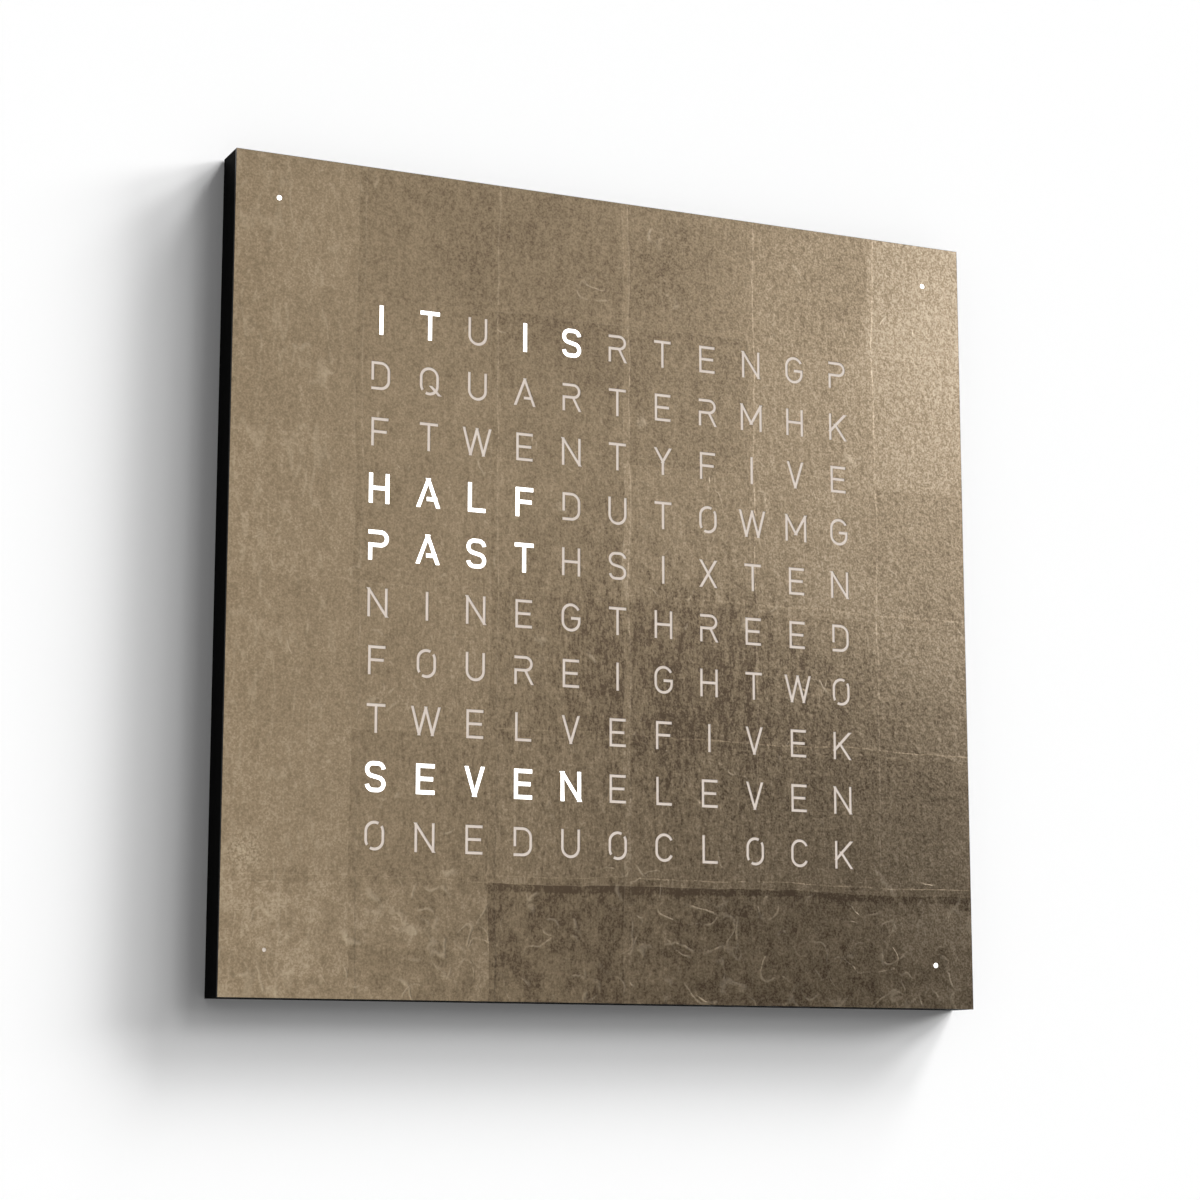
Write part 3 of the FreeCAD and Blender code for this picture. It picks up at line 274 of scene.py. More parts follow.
leaf = {
    "side": (79.2, 78.6),           # visible part of each square leaf, across and up
    "firstSeam": (3.2, -4.5),       # a seam crossing near the middle of the face
    "seamWidth": 0.5,
    "lapWidth": 4.5,                # strip where two leaves lie over each other
    # column, row and tone of a leaf
    "shades": ((-1, -3, -0.13), (0, -3, -0.12), (1, -3, -0.09), (2, -3, 0.03), (0, -2, 0.05),
               (2, -2, 0.05), (-3, -3, 0.05), (-3, -2, 0.06), (-3, -1, 0.05), (-1, -1, -0.05),
               (0, -1, -0.02), (-1, 0, -0.02), (-1, 1, -0.03), (0, 1, -0.02), (1, 1, 0.03),
               (-1, 2, -0.04), (0, 2, -0.02), (2, 0, 0.06), (2, 1, 0.07), (2, 2, 0.06)),
    # place, width and tone of darker streaked spots, partly worn leaf and partly painted shade where
    # the lower face reflects darker, and of softer patches
    "wornAndShadedSpots": ((60, -72, 130, -0.10), (30, -60, 80, -0.09), (150, -78, 90, -0.07),
             (35, 0, 120, -0.07)),
    # softer patches: darker across the top middle, darker low on the right as partly painted shade,
    # and a painted sheen high on the right
    "patches": ((-25, 190, 120, -0.11), (190, -75, 60, -0.06), (222, 150, 90, 0.08)),
    "fold": ((160.0, -21.5, -145.0), (0.65, 0.0, -0.76), (0.76, 0.0, 0.65)),  # start, way, across
    "rubbedMiddle": (10.0, -21.5, -85.0),
    "bareSpot": (-213.0, -21.5, -150.0),                         # leaf rubbed thin at the edge
    "drift": 45.0,                  # size of the waves by which straight patterns stray
    # how far the seams, the fold, the creases and the patches stray, in millimetres
    "strays": {"seams": 6.0, "fold": 4.0, "shortCreases": 20.0, "longCreases": 30.0,
               "patches": 60.0},
    # each noise's size in millimetres, detail, roughness and the coordinates that it follows
    "noises": {
        "streaks": (4.0, 5.0, 0.7, "tall"),
        "strokes": (1.5, 4.0, 0.7, "tall"),
        "scratches": (11.0, 1.0, 0.5, "tall"),
        "clouds": (42.0, 4.0, 0.55, "flat"),
        "peel": (1.0, 1.0, 0.5, "flat"),
        "coarse": (2.6, 2.0, 0.6, "flat"),
        "dents": (3.5, 1.0, 0.5, "flat"),
        "wear": (9.0, 4.0, 0.5, "flat"),
        "mottles": (13.0, 4.0, 0.6, "flat"),
        "creased": (18.0, 2.0, 0.5, "flat"),
        "broken": (8.0, 3.0, 0.5, "flat"),
        "flecks": (1.3, 3.0, 0.6, "flat"),
        "shortCreases": (24.0, 1.0, 0.5, "shortCreases"),
        "longCreases": (38.0, 1.0, 0.5, "longCreases"),
    },
    "creaseWidth": 0.55,
    # weight of each pattern in the leaf's tone, where 0.1 is about 13 levels of 255
    "tones": {"streaks": 0.30, "clouds": 0.16, "leaves": 0.10, "grain": 0.28, "coarse": 0.09,
              "strokes": 0.20, "laps": 1.0, "fold": 0.24, "mottles": 0.08},
    "heights": {"peel": 0.35, "dents": 1.0, "laps": 0.4, "creases": 0.5},
    "bump": {"Strength": 0.7, "Distance": 0.16 * mm},
    "stops": ((0.20, "605141"), (0.40, "81715A"), (0.60, "95836A"), (0.80, "AD9C83")),
    "rubbed": "C4B398",             # creases and edges, rubbed pale
    "roughness": 0.30,
    "plateEdge": 224.85,            # beyond this the plate's sides are black
    "blackened": "060606",
}


def giltLeaf():
    # imitation gold leaf laid by hand on a steel sheet and sealed: dull bronze gold, cloudy,
    # with fine pitting, square seams and small creases
    material, tree, shader, flat = newFinish("giltMetalLeaf", "9A866B", 1.0, leaf["roughness"])
    drift = addNode(tree, "TexNoise", {"Vector": flat, "Scale": 1 / leaf["drift"], "Detail": 3.0})
    drift = addNode(tree, "VectorMath", subtract, drift.outputs["Color"], (0.5, 0.5, 0.5))
    vectors = {"flat": flat, "tall": addNode(tree, "Mapping", {"Vector": flat,
                                                               "Scale": (1.0, 1.0, 0.3)})}
    for name, reach in leaf["strays"].items():
        vectors[name] = addNode(tree, "VectorMath", multiplyAdd, drift, (reach,) * 3, flat)
    noise = {}
    for name, (size, detail, roughness, vector) in leaf["noises"].items():
        noise[name] = addNode(tree, "TexNoise", {"Vector": vectors[vector], "Scale": 1 / size,
                                                 "Detail": detail, "Roughness": roughness})
    plain = addNode(tree, "SeparateXYZ", {}, flat)
    warped = addNode(tree, "SeparateXYZ", {}, vectors["seams"])

    # the leaf that a place is in, as a column and a row, and how far into it the place is
    cells, inside, edges = [], [], []
    for axis, side, start in zip(("X", "Z"), leaf["side"], leaf["firstSeam"]):
        place = addNode(tree, "Math", subtract, warped.outputs[axis], start)
        place = addNode(tree, "Math", {"operation": "DIVIDE"}, place, side)
        cells.append(addNode(tree, "Math", {"operation": "FLOOR"}, place))
        part = addNode(tree, "Math", {"operation": "FRACT"}, place)
        inside.append(addNode(tree, "Math", multiply, part, side))
        left = addNode(tree, "Math", subtract, side, inside[-1])
        edges.append(addNode(tree, "Math", smaller, inside[-1], left))
    cell = addNode(tree, "CombineXYZ", {}, *cells)
    leafTone = addNode(tree, "TexWhiteNoise", {"noise_dimensions": "2D", "Vector": cell})
    code = addNode(tree, "Math", multiplyAdd, cells[1], 10.0, cells[0])

    # seams show here and there, where their edges are worn
    worn = addNode(tree, "MapRange", smooth, noise["wear"], 0.40, 0.62, 0.0, 1.0)
    edge = addNode(tree, "Math", smaller, *edges)
    seam = addNode(tree, "MapRange", smooth, edge, 0.0, leaf["seamWidth"], 1.0, 0.0)
    seam = addNode(tree, "Math", multiply, worn, seam)

    # the strips where leaves lie double stand up a little; they are paler beside the middle
    # seam, and darker elsewhere, most of all low on the face
    width = leaf["lapWidth"]
    lap = addNode(tree, "Math", smaller, *inside)
    lap = addNode(tree, "MapRange", smooth, lap, width * 0.8, width, 1.0, 0.0)
    aside = addNode(tree, "Math", subtract, warped.outputs["X"], leaf["firstSeam"][0])
    aside = addNode(tree, "Math", absolute, aside)
    aside = addNode(tree, "MapRange", smooth, aside, 10.0, 30.0, 0.09, -0.02)
    lapSide = addNode(tree, "MapRange", smooth, inside[0], width * 0.7, width * 1.1, 1.0, 0.0)
    lapSide = addNode(tree, "Math", multiply, lapSide, aside)
    lapTop = addNode(tree, "Math", subtract, leaf["side"][1], inside[1])
    lapTop = addNode(tree, "MapRange", smooth, lapTop, width * 0.7, width * 1.1, 1.0, 0.0)
    low = addNode(tree, "MapRange", smooth, warped.outputs["Z"], -150.0, -110.0, -0.17, -0.02)
    lapTop = addNode(tree, "Math", multiply, lapTop, low)
    right = addNode(tree, "MapRange", smooth, warped.outputs["X"], -85.0, -70.0, 0.2, 1.0)
    lapTop = addNode(tree, "Math", multiply, lapTop, right)

    # the orange peel's tone swings wider towards the right of the face: painted glints, standing in
    # for the sheen picking the grain out there
    peel = addNode(tree, "MapRange", smooth, plain.outputs["X"], -60.0, 200.0, 0.6, 1.0)
    grain = addNode(tree, "MapRange", smooth, noise["peel"], 0.34, 0.66, -0.5, 0.5)
    grain = addNode(tree, "Math", multiplyAdd, grain, peel, 0.5)
    coarse = addNode(tree, "MapRange", smooth, noise["coarse"], 0.28, 0.72, 0.0, 1.0)

    # the middle of the face is rubbed in short upright strokes
    away = addNode(tree, "VectorMath", distance, flat, leaf["rubbedMiddle"]).outputs["Value"]
    away = addNode(tree, "MapRange", smooth, away, 60.0, 200.0, 1.0, 0.25)
    strokes = addNode(tree, "MapRange", smooth, noise["strokes"], 0.36, 0.64, -0.5, 0.5)
    strokes = addNode(tree, "Math", multiplyAdd, strokes, away, 0.5)

    # one soft fold runs down to the right: a band across its line, fading along it
    start, way, over = leaf["fold"]
    fromStart = addNode(tree, "VectorMath", subtract, vectors["fold"], start)
    along, off = [addNode(tree, "VectorMath", {"operation": "DOT_PRODUCT"}, fromStart,
                          axis).outputs["Value"] for axis in (way, over)]
    off = addNode(tree, "Math", absolute, off)
    fold = addNode(tree, "MapRange", smooth, off, 0.2, 2.4, 1.0, 0.0)
    for first, last, atFirst, atLast in ((-2.0, 4.0, 0.0, 1.0), (18.0, 58.0, 1.0, 0.0)):
        fade = addNode(tree, "MapRange", smooth, along, first, last, atFirst, atLast)
        fold = addNode(tree, "Math", multiply, fold, fade)

    # creases: the lines where a slow noise passes its middle value, kept here and there, mostly
    # in the lowest leaves; upright ones in the left column
    low = addNode(tree, "MapRange", smooth, warped.outputs["Z"], -168.0, -152.0, 0.14, 0.0)
    kept = addNode(tree, "Math", add, noise["creased"], low)
    kept = addNode(tree, "MapRange", smooth, kept, 0.58, 0.70, 0.0, 1.0)
    leftmost = addNode(tree, "MapRange", smooth, plain.outputs["X"], -160.0, -172.0, 0.0, 0.5)
    crease = 0.0
    for name, where in (("shortCreases", kept), ("longCreases", kept), ("scratches", leftmost)):
        line = addNode(tree, "Math", subtract, noise[name], 0.5)
        line = addNode(tree, "Math", absolute, line)
        width = leaf["creaseWidth"] / leaf["noises"][name][0]
        line = addNode(tree, "MapRange", smooth, line, 0.0, width, 1.0, 0.0)
        line = addNode(tree, "Math", multiply, line, where)
        crease = addNode(tree, "Math", larger, line, crease)
    broken = addNode(tree, "MapRange", smooth, noise["broken"], 0.38, 0.58, 0.0, 1.0)
    crease = addNode(tree, "Math", multiply, crease, broken)

    # tone: the patterns that are everywhere swing about their middle, and the ones that are
    # nought nearly everywhere are added
    tones = leaf["tones"]
    centred = [(noise["streaks"], tones["streaks"]), (noise["clouds"], tones["clouds"]),
               (leafTone, tones["leaves"]), (grain, tones["grain"]),
               (coarse, tones["coarse"]), (strokes, tones["strokes"])]
    added = [(lapSide, tones["laps"]), (lapTop, tones["laps"]), (fold, tones["fold"])]
    for column, row, shade in leaf["shades"]:
        mask = addNode(tree, "Math", {"operation": "COMPARE"}, code, column + 10.0 * row, 0.1)
        added.append((mask, shade))
    # the darker streaked spots are partly wear and partly painted shade; the softer patches hold
    # painted shade and a painted sheen as well
    streaked = addNode(tree, "MapRange", smooth, noise["streaks"], 0.28, 0.72, 1.2, 0.3)
    for pattern, spots in ((streaked, leaf["wornAndShadedSpots"]), (1.0, leaf["patches"])):
        for toRight, up, size, shade in spots:
            spot = addNode(tree, "VectorMath", distance, vectors["patches"],
                           (toRight, -21.5, up)).outputs["Value"]
            spot = addNode(tree, "MapRange", smooth, spot, size * 0.2, size, 1.0, 0.0)
            added.append((addNode(tree, "Math", multiply, spot, pattern), shade))
    mottles = addNode(tree, "MapRange", smooth, noise["mottles"], 0.36, 0.64, -1.0, 1.0)
    lowest = addNode(tree, "MapRange", smooth, warped.outputs["Z"], -160.0, -156.0, 1.0, 0.0)
    added.append((addNode(tree, "Math", multiply, mottles, lowest), tones["mottles"]))
    tone = weigh(tree, 0.5 + sum(shade for mask, shade in added) / 2, centred + added)
    colour = addNode(tree, "ValToRGB", {"stops": leaf["stops"]}, tone)

    # seams, creases and the bare spot are rubbed pale
    bare = addNode(tree, "VectorMath", distance, flat, leaf["bareSpot"]).outputs["Value"]
    bare = addNode(tree, "MapRange", smooth, bare, 2.0, 17.0, 1.0, 0.0)
    flecks = addNode(tree, "MapRange", smooth, noise["flecks"], 0.42, 0.66, 0.0, 0.55)
    bare = addNode(tree, "Math", multiply, bare, flecks)
    rubbed = addNode(tree, "Math", multiply, seam, 0.3)
    rubbed = addNode(tree, "Math", larger, rubbed, crease)
    rubbed = addNode(tree, "Math", multiply, rubbed, 0.34)
    rubbed = addNode(tree, "Math", larger, rubbed, bare)
    colour = addNode(tree, "Mix", {"data_type": "RGBA", 0: rubbed, 6: colour,
                                   7: linearColour(leaf["rubbed"])}).outputs[2]

    # the plate's cut sides are blackened
    outwards = addNode(tree, "VectorMath", absolute, flat)
    outwards = addNode(tree, "SeparateXYZ", {}, outwards)
    outwards = addNode(tree, "Math", larger, outwards.outputs["X"], outwards.outputs["Z"])
    side = addNode(tree, "Math", {"operation": "GREATER_THAN"}, outwards, leaf["plateEdge"])
    colour = addNode(tree, "Mix", {"data_type": "RGBA", 0: side, 6: colour,
                                   7: linearColour(leaf["blackened"])}).outputs[2]
    tree.links.new(colour, shader.inputs["Base Color"])
    rough = weigh(tree, leaf["roughness"], ((coarse, 0.02), (noise["streaks"], 0.06)))
    tree.links.new(rough.outputs[0], shader.inputs["Roughness"])
    heights = leaf["heights"]
    height = weigh(tree, 0.0, ((noise["peel"], heights["peel"]), (noise["dents"], heights["dents"]),
                               (lap, heights["laps"]), (crease, heights["creases"])))
    bump = addNode(tree, "Bump", {**leaf["bump"], "Height": height})
    tree.links.new(bump.outputs[0], shader.inputs["Normal"])
    return material


def grained(name, colours, metallic, roughness, grainSize, grainDepth, stretch=(1, 1, 1),
            extras=None):
    # cloudy colour between the two given, with a surface grain of the given size and depth in mm
    material, tree, shader, flat = newFinish(name, colours[0], metallic, roughness, extras)
    flat = addNode(tree, "Mapping", {"Vector": flat, "Scale": stretch})
    cloud = addNode(tree, "TexNoise", {"Vector": flat, "Scale": 1 / (grainSize * 14)})
    grain = addNode(tree, "TexNoise", {"Vector": flat, "Scale": 1 / grainSize, "Detail": 2.0})
    tone = weigh(tree, 0.5, ((cloud, 0.9), (grain, 0.5)))
    colour = addNode(tree, "ValToRGB", {"stops": ((0.2, colours[0]), (0.8, colours[1]))}, tone)
    tree.links.new(colour.outputs[0], shader.inputs["Base Color"])
    rough = weigh(tree, roughness, ((cloud, 0.2), (grain, 0.1)))
    tree.links.new(rough.outputs[0], shader.inputs["Roughness"])
    bump = addNode(tree, "Bump", {"Strength": 1.0, "Distance": grainDepth * mm, "Height": grain})
    tree.links.new(bump.outputs[0], shader.inputs["Normal"])
    return material


board = {
    "fibre": 1.6,            # millimetres
    "blotch": 60.0,
    "screenPitch": 2.388,    # between the wires of the press's screen
    "stops": ((0.2, "161412"), (0.55, "28231F"), (0.85, "3B342E")),
}


def hardboard():
    # dyed hardboard: dark brown-black felted fibres with the print of the press's wire screen
    material, tree, shader, flat = newFinish("dyedHardboard", "2A2623", 0.0, 0.75)
    fibres = addNode(tree, "TexNoise", {"Vector": flat, "Scale": 1 / board["fibre"],
                                        "Detail": 6.0, "Roughness": 0.7})
    blotches = addNode(tree, "TexNoise", {"Vector": flat, "Scale": 1 / board["blotch"],
                                          "Detail": 3.0})
    waves = []
    for axis in ("X", "Z"):
        # a wave texture of scale 1 repeats every pi / 10
        waves.append(addNode(tree, "TexWave", {"bands_direction": axis, "Vector": flat,
                                               "Scale": math.pi / 10 / board["screenPitch"],
                                               "Distortion": 0.35, "Detail": 1.0}))
    tone = weigh(tree, 0.5, ((fibres, 0.8), (blotches, 0.5), (waves[0], 0.10), (waves[1], 0.10)))
    colour = addNode(tree, "ValToRGB", {"stops": board["stops"]}, tone)
    tree.links.new(colour.outputs[0], shader.inputs["Base Color"])
    height = weigh(tree, 0.0, ((fibres, 0.6), (waves[0], 0.5), (waves[1], 0.5)))
    bump = addNode(tree, "Bump", {"Strength": 0.7, "Distance": 0.15 * mm, "Height": height})
    tree.links.new(bump.outputs[0], shader.inputs["Normal"])
    return material


def glowingAcrylic():
    # opal acrylic lit from behind, so bright that it shows pure white
    material, tree, shader, flat = newFinish("litOpalAcrylic", "FFFFFF", 0.0, 0.5)
    shader.inputs["Emission Color"].default_value = linearColour("FFFEFA")
    shader.inputs["Emission Strength"].default_value = 1.6
    return material


lowGloss = {"Specular IOR Level": 0.01}
finishes = {
    "gilded_steel": giltLeaf(),
    # acrylic: white and even, with a soft shine
    "lit_acrylic": glowingAcrylic(),
    "opal_acrylic": grained("unlitOpalAcrylic", ("D3C5BA", "E0D4C8"), 0.0, 0.42, 0.5, 0.02),
    "diffuser_acrylic": grained("opalAcrylicSheet", ("DFDDD7", "E9E7E2"), 0.0, 0.35, 0.5, 0.01),
    # turned steel: grey and bright, with fine turning lines
    "bright_steel": grained("turnedSteel", ("9C9C9C", "B4B4B4"), 1.0, 0.28, 0.25, 0.01, (1, 6, 1)),
    # lacquered wood: so matt that it shows no form of its own, only black
    "black_lacquer": grained("mattBlackLacquer", ("020202", "050505"), 0.0, 0.6, 0.5, 0.02,
                             (1, 1, 1), lowGloss),
    "hardboard": hardboard(),
    # plated and drawn metals: nickel warm and bright, zinc bluish and spangled
    "nickel": grained("nickelPlate", ("A9A59C", "BDB9AF"), 1.0, 0.24, 0.3, 0.005),
    "zinc_steel": grained("zincPlatedSteel", ("8E9398", "B4B7BA"), 1.0, 0.34, 0.6, 0.01),
    # boards, spacers and lamps: pale, smooth, a little glossy
    "circuit_board": grained("whiteSolderMask", ("CCCFC9", "DADCD7"), 0.0, 0.3, 0.4, 0.01),
    "nylon": grained("naturalNylon", ("C9C6BA", "D9D6CB"), 0.0, 0.5, 0.4, 0.01),
    "lamp_package": grained("lampEpoxy", ("E3DA9E", "EFE7B8"), 0.0, 0.25, 0.3, 0.01),
    # moulded plastics: black to dark grey, dull from the mould's fine texture
    "grid_plastic": grained("blackMouldedPlastic", ("0D0D0D", "161616"), 0.0, 0.6, 0.4, 0.02),
    "chip_resin": grained("mouldedChipResin", ("121215", "1D1D21"), 0.0, 0.5, 0.2, 0.01),
    "capacitor_can": grained("drawnAluminiumCan", ("84878B", "9EA1A4"), 1.0, 0.3, 0.3, 0.01),
    "connector_plastic": grained("blackGlassFilledNylon", ("101010", "1B1B1B"), 0.0, 0.45, 0.3,
                                 0.02),
    "ribbon_vinyl": grained("greyRibbonVinyl", ("6E7073", "808285"), 0.0, 0.5, 0.3, 0.01),
    "button_plastic": grained("blackAbs", ("0B0B0B", "131313"), 0.0, 0.4, 0.25, 0.01),
}
for row in frame["record"]["subparts"]:
    cadNode = nodes[row["node"]]
    cadNode.data.materials.clear()
    cadNode.data.materials.append(finishes[row["material_slot"]])
print("finishes made:", len(finishes))


def dress(piece, body, slotName, *replaced):
    # every new piece has a finish, a body to ride on and the CAD nodes that it stands for
    piece.data.materials.clear()
    piece.data.materials.append(finishes[slotName])
    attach(piece, body)
    if replaced:
        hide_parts(*replaced)
    return piece


def mergedMesh(cadName):
    # the CAD node's loose triangles joined at their corners: places and triangles as arrays
    work = bmesh.new()
    work.from_mesh(nodes[cadName].data)
    bmesh.ops.remove_doubles(work, verts=work.verts, dist=0.002 * mm)
    mesh = bpy.data.meshes.new("merged")
    work.to_mesh(mesh)
    work.free()
    places = np.zeros(len(mesh.vertices) * 3)
    corners = np.zeros(len(mesh.loops), int)
    mesh.vertices.foreach_get("co", places)
    mesh.loops.foreach_get("vertex_index", corners)
    bpy.data.meshes.remove(mesh)
    return places.reshape(-1, 3), corners.reshape(-1, 3)

# the bright film that reaches past each cut-out is painted glow lying on the gilt face
glow = {
    "spread": 0.34,      # millimetres by which the light spreads over the edges of a cut-out
    "sharpest": 0.4,     # least square of a mean normal, so that sharp corners don't run out
    "proud": 0.05,       # thickness of the bright film on the face
}


def litInlayWithGlow(name, cadName):
    # the inlay's front outline, moved outwards along the mean of its two edges' normals,
    # lengthened so that both edges move by the same distance; below it the inlay itself. The
    # widened rim is painted glow: lit acrylic laid over the gilt face where the letters' light
    # spills
    places, triangles = mergedMesh(cadName)
    front = places[:, 1].min()
    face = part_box("face_plate")[0].y
    onFront = (places[triangles, 1] < front + 0.01 * mm).all(axis=1)
    cap = triangles[onFront]
    used, cap = np.unique(cap, return_inverse=True)
    cap = cap.reshape(-1, 3)
    outline = places[used]
    count = len(outline)
    edges = np.concatenate([cap[:, [0, 1]], cap[:, [1, 2]], cap[:, [2, 0]]])
    codes = edges[:, 0] * count + edges[:, 1]
    border = edges[~np.isin(edges[:, 1] * count + edges[:, 0], codes)]
    along = outline[border[:, 1]] - outline[border[:, 0]]
    along /= np.linalg.norm(along, axis=1, keepdims=True)
    # the cap looks along -Y and its edges run anticlockwise, so right of an edge is outwards
    outwards = np.stack([along[:, 2], np.zeros(len(along)), -along[:, 0]], axis=1)
    total = np.zeros((count, 3))
    np.add.at(total, border[:, 0], outwards / 2)
    np.add.at(total, border[:, 1], outwards / 2)
    length = np.maximum((total ** 2).sum(axis=1, keepdims=True), glow["sharpest"])
    wide = outline + total * glow["spread"] * mm / length
    rear = places[:, 1].max()
    layers = [(wide, face - glow["proud"] * mm), (wide, face), (outline, face), (outline, rear)]
    stacked = []
    for flatPlaces, depth in layers:
        layer = flatPlaces.copy()
        layer[:, 1] = depth
        stacked.append(layer)
    walls = [np.stack([border[:, 1] + k * count, border[:, 0] + k * count,
                       border[:, 0] + (k + 1) * count, border[:, 1] + (k + 1) * count], axis=1)
             for k in range(len(layers) - 1)]
    faces = cap.tolist() + (cap[:, ::-1] + 3 * count).tolist()
    for wall in walls:
        faces += wall.tolist()
    mesh = bpy.data.meshes.new(name)
    mesh.from_pydata(np.concatenate(stacked).tolist(), [], faces)
    mesh.update()
    piece = bpy.data.objects.new(name, mesh)
    bpy.context.scene.collection.objects.link(piece)
    dress(piece, "front_cover", "lit_acrylic", cadName)


litInlayWithGlow("litLettersWithGlow", "lit_letters")
litInlayWithGlow("litDotsWithGlow", "lit_minute_dots")
print("lit letters made")


# Rails

rails = {
    "edgeRadius": 0.4,       # millimetres, rounded by sanding and lacquer
    "edgeSegments": 2,
}


def softenedCopy(name, cadName, body, slotName, radius):
    # a copy of the CAD node whose sharp edges are rounded
    places, triangles = mergedMesh(cadName)
    work = bmesh.new()
    mesh = bpy.data.meshes.new(name)
    mesh.from_pydata(places.tolist(), [], triangles.tolist())
    work.from_mesh(mesh)
    bmesh.ops.dissolve_limit(work, angle_limit=math.radians(0.5), verts=work.verts,
                             edges=work.edges)
    work.to_mesh(mesh)
    work.free()
    piece = bpy.data.objects.new(name, mesh)
    bpy.context.scene.collection.objects.link(piece)
    bevel = piece.modifiers.new("roundedEdges", "BEVEL")
    bevel.width = radius * mm
    bevel.segments = rails["edgeSegments"]
    bevel.limit_method = "ANGLE"
    bevel.angle_limit = math.radians(40)
    dress(piece, body, slotName, cadName)
    return piece


for side in ("left", "right", "top", "bottom"):
    softenedCopy(side + "RailLacquered", side + "_rail", "root", "black_lacquer",
                 rails["edgeRadius"])
print("rails made")


def islands(cadName):
    # the box of each separate solid: every corner takes the lowest number among its neighbours
    # again and again until the numbers settle, so that each solid ends with one number
    places, triangles = mergedMesh(cadName)
    labels = np.arange(len(places))
    while True:
        lowest = labels[triangles].min(axis=1)
        settled = labels.copy()
        for corner in range(3):
            np.minimum.at(settled, triangles[:, corner], lowest)
        settled = settled[settled]
        if (settled == labels).all():
            break
        labels = settled
    return [(places[labels == label].min(axis=0), places[labels == label].max(axis=0))
            for label in np.unique(labels)]


def loftPiece(name, lofts, smoothAngle=35):
    # each loft is rings of points, (rings, points, 3); neighbouring rings are joined by quads,
    # and the first and last ring are closed with a face
    places, faces, start = [], [], 0
    for rings in lofts:
        count, points = rings.shape[:2]
        grid = np.arange(count * points).reshape(count, points) + start
        ahead = np.roll(grid, -1, axis=1)
        quads = np.stack([grid[:-1], ahead[:-1], ahead[1:], grid[1:]], axis=-1)
        faces += quads.reshape(-1, 4).tolist()
        faces += [grid[0, ::-1].tolist(), grid[-1].tolist()]
        places.append(rings.reshape(-1, 3))
        start += count * points
    mesh = bpy.data.meshes.new(name)
    mesh.from_pydata(np.concatenate(places).tolist(), [], faces)
    work = bmesh.new()
    work.from_mesh(mesh)
    bmesh.ops.recalc_face_normals(work, faces=work.faces)
    work.to_mesh(mesh)
    work.free()
    mesh.polygons.foreach_set("use_smooth", [True] * len(mesh.polygons))
    mesh.set_sharp_from_angle(angle=math.radians(smoothAngle))
    piece = bpy.data.objects.new(name, mesh)
    bpy.context.scene.collection.objects.link(piece)
    return piece


def placeAlong(rings, origin, axis):
    # rings are drawn with their third number along the axis; the axis is +-X, +-Y or +-Z
    axis = np.asarray(axis, float)
    side = np.array([0.0, 0.0, 1.0]) if abs(axis[2]) < 0.5 else np.array([1.0, 0.0, 0.0])
    other = np.cross(axis, side)
    return (np.asarray(origin) + rings[..., :1] * side + rings[..., 1:2] * other
            + rings[..., 2:] * axis)


def lathe(profile, points=32, outline=None):
    # profile is (radius, height) pairs in millimetres; each point is the radius at its angle,
    # times the outline's own radius there where one is given
    angles = np.arange(points) / points * 2 * math.pi
    radii, heights = np.array(profile).T * mm
    shape = np.ones((len(radii), points)) if outline is None else outline(angles, len(radii))
    return np.stack([radii[:, None] * shape * np.cos(angles),
                     radii[:, None] * shape * np.sin(angles),
                     np.broadcast_to(heights[:, None], (len(radii), points))], axis=-1)


screws = {
    "points": 24,            # around a head
    "armLength": 0.60,       # the cross recess, as parts of the head's radius
    "armWidth": 0.15,
    "recessDepth": 0.62,     # as a part of the head's height
    # each set's CAD node, head radius and height, shank radius, and way from head to tip
    "sets": {
        "backPanelScrewSet": ("back_panel_screws", 2.8, 1.7, 1.5, (0, -1, 0)),
        "hangerScrewSet": ("hanger_screws", 2.5, 1.1, 1.1, (0, -1, 0)),
        "bracketScrewSet": ("corner_bracket_screws", 2.8, 1.7, 1.5, None),
        "lampBoardScrewSet": ("lamp_board_screws", 2.5, 1.8, 1.25, (0, 1, 0)),
        "controllerScrewSet": ("controller_screws", 2.5, 1.8, 1.25, (0, 1, 0)),
    },
}


def crossOutline(angles, rings):
    # a cross in polar form: the nearer of its arm's end, length / larger of |cos| and |sin|,
    # and its arm's side, width / smaller of the two; only the first two rings take it
    far = np.maximum(abs(np.cos(angles)), abs(np.sin(angles)))
    near = np.minimum(abs(np.cos(angles)), abs(np.sin(angles)))
    cross = np.minimum(screws["armLength"] / far, screws["armWidth"] / np.maximum(near, 1e-6))
    shape = np.ones((rings, len(angles)))
    shape[:2] = cross
    return shape


def crossScrews(name, cadName, headRadius, headHeight, shankRadius, axis):
    # pan-head screws in the CAD's places; the axis runs from head to tip, away from the middle
    # where none is given
    deep = headHeight * screws["recessDepth"]
    head = [(headRadius * 0.72, deep), (headRadius, 0.02), (headRadius * 0.72, 0.0),
            (headRadius * 0.90, 0.10 * headHeight), (headRadius * 0.985, 0.30 * headHeight),
            (headRadius, 0.55 * headHeight), (headRadius, headHeight)]
    lofts = []
    for low, high in islands(cadName):
        span = high - low
        way = np.zeros(3)
        if axis is None:
            along = int(np.argmax(span))
            way[along] = 1.0 if low[along] > 0 else -1.0
        else:
            way[:] = axis
        along = int(np.argmax(abs(way)))
        middle = (low + high) / 2
        middle[along] = low[along] if way[along] > 0 else high[along]
        length = span[along] / mm
        shank = [(shankRadius, headHeight), (shankRadius, length - shankRadius),
                 (shankRadius * 0.25, length)]
        lofts.append(placeAlong(lathe(head + shank, screws["points"], crossOutline), middle, way))
    dress(loftPiece(name, lofts, 50), "root", "zinc_steel", cadName)


for name, screwSet in screws["sets"].items():
    crossScrews(name, *screwSet)
print("screws made")

button = {
    "stem": (4.0, 12.1),         # radius and length up to the collar, millimetres
    "collar": 5.0,
    "dish": 0.7,                 # depth of the finger dish
    "rim": 0.4,                  # rounding round the dish
}


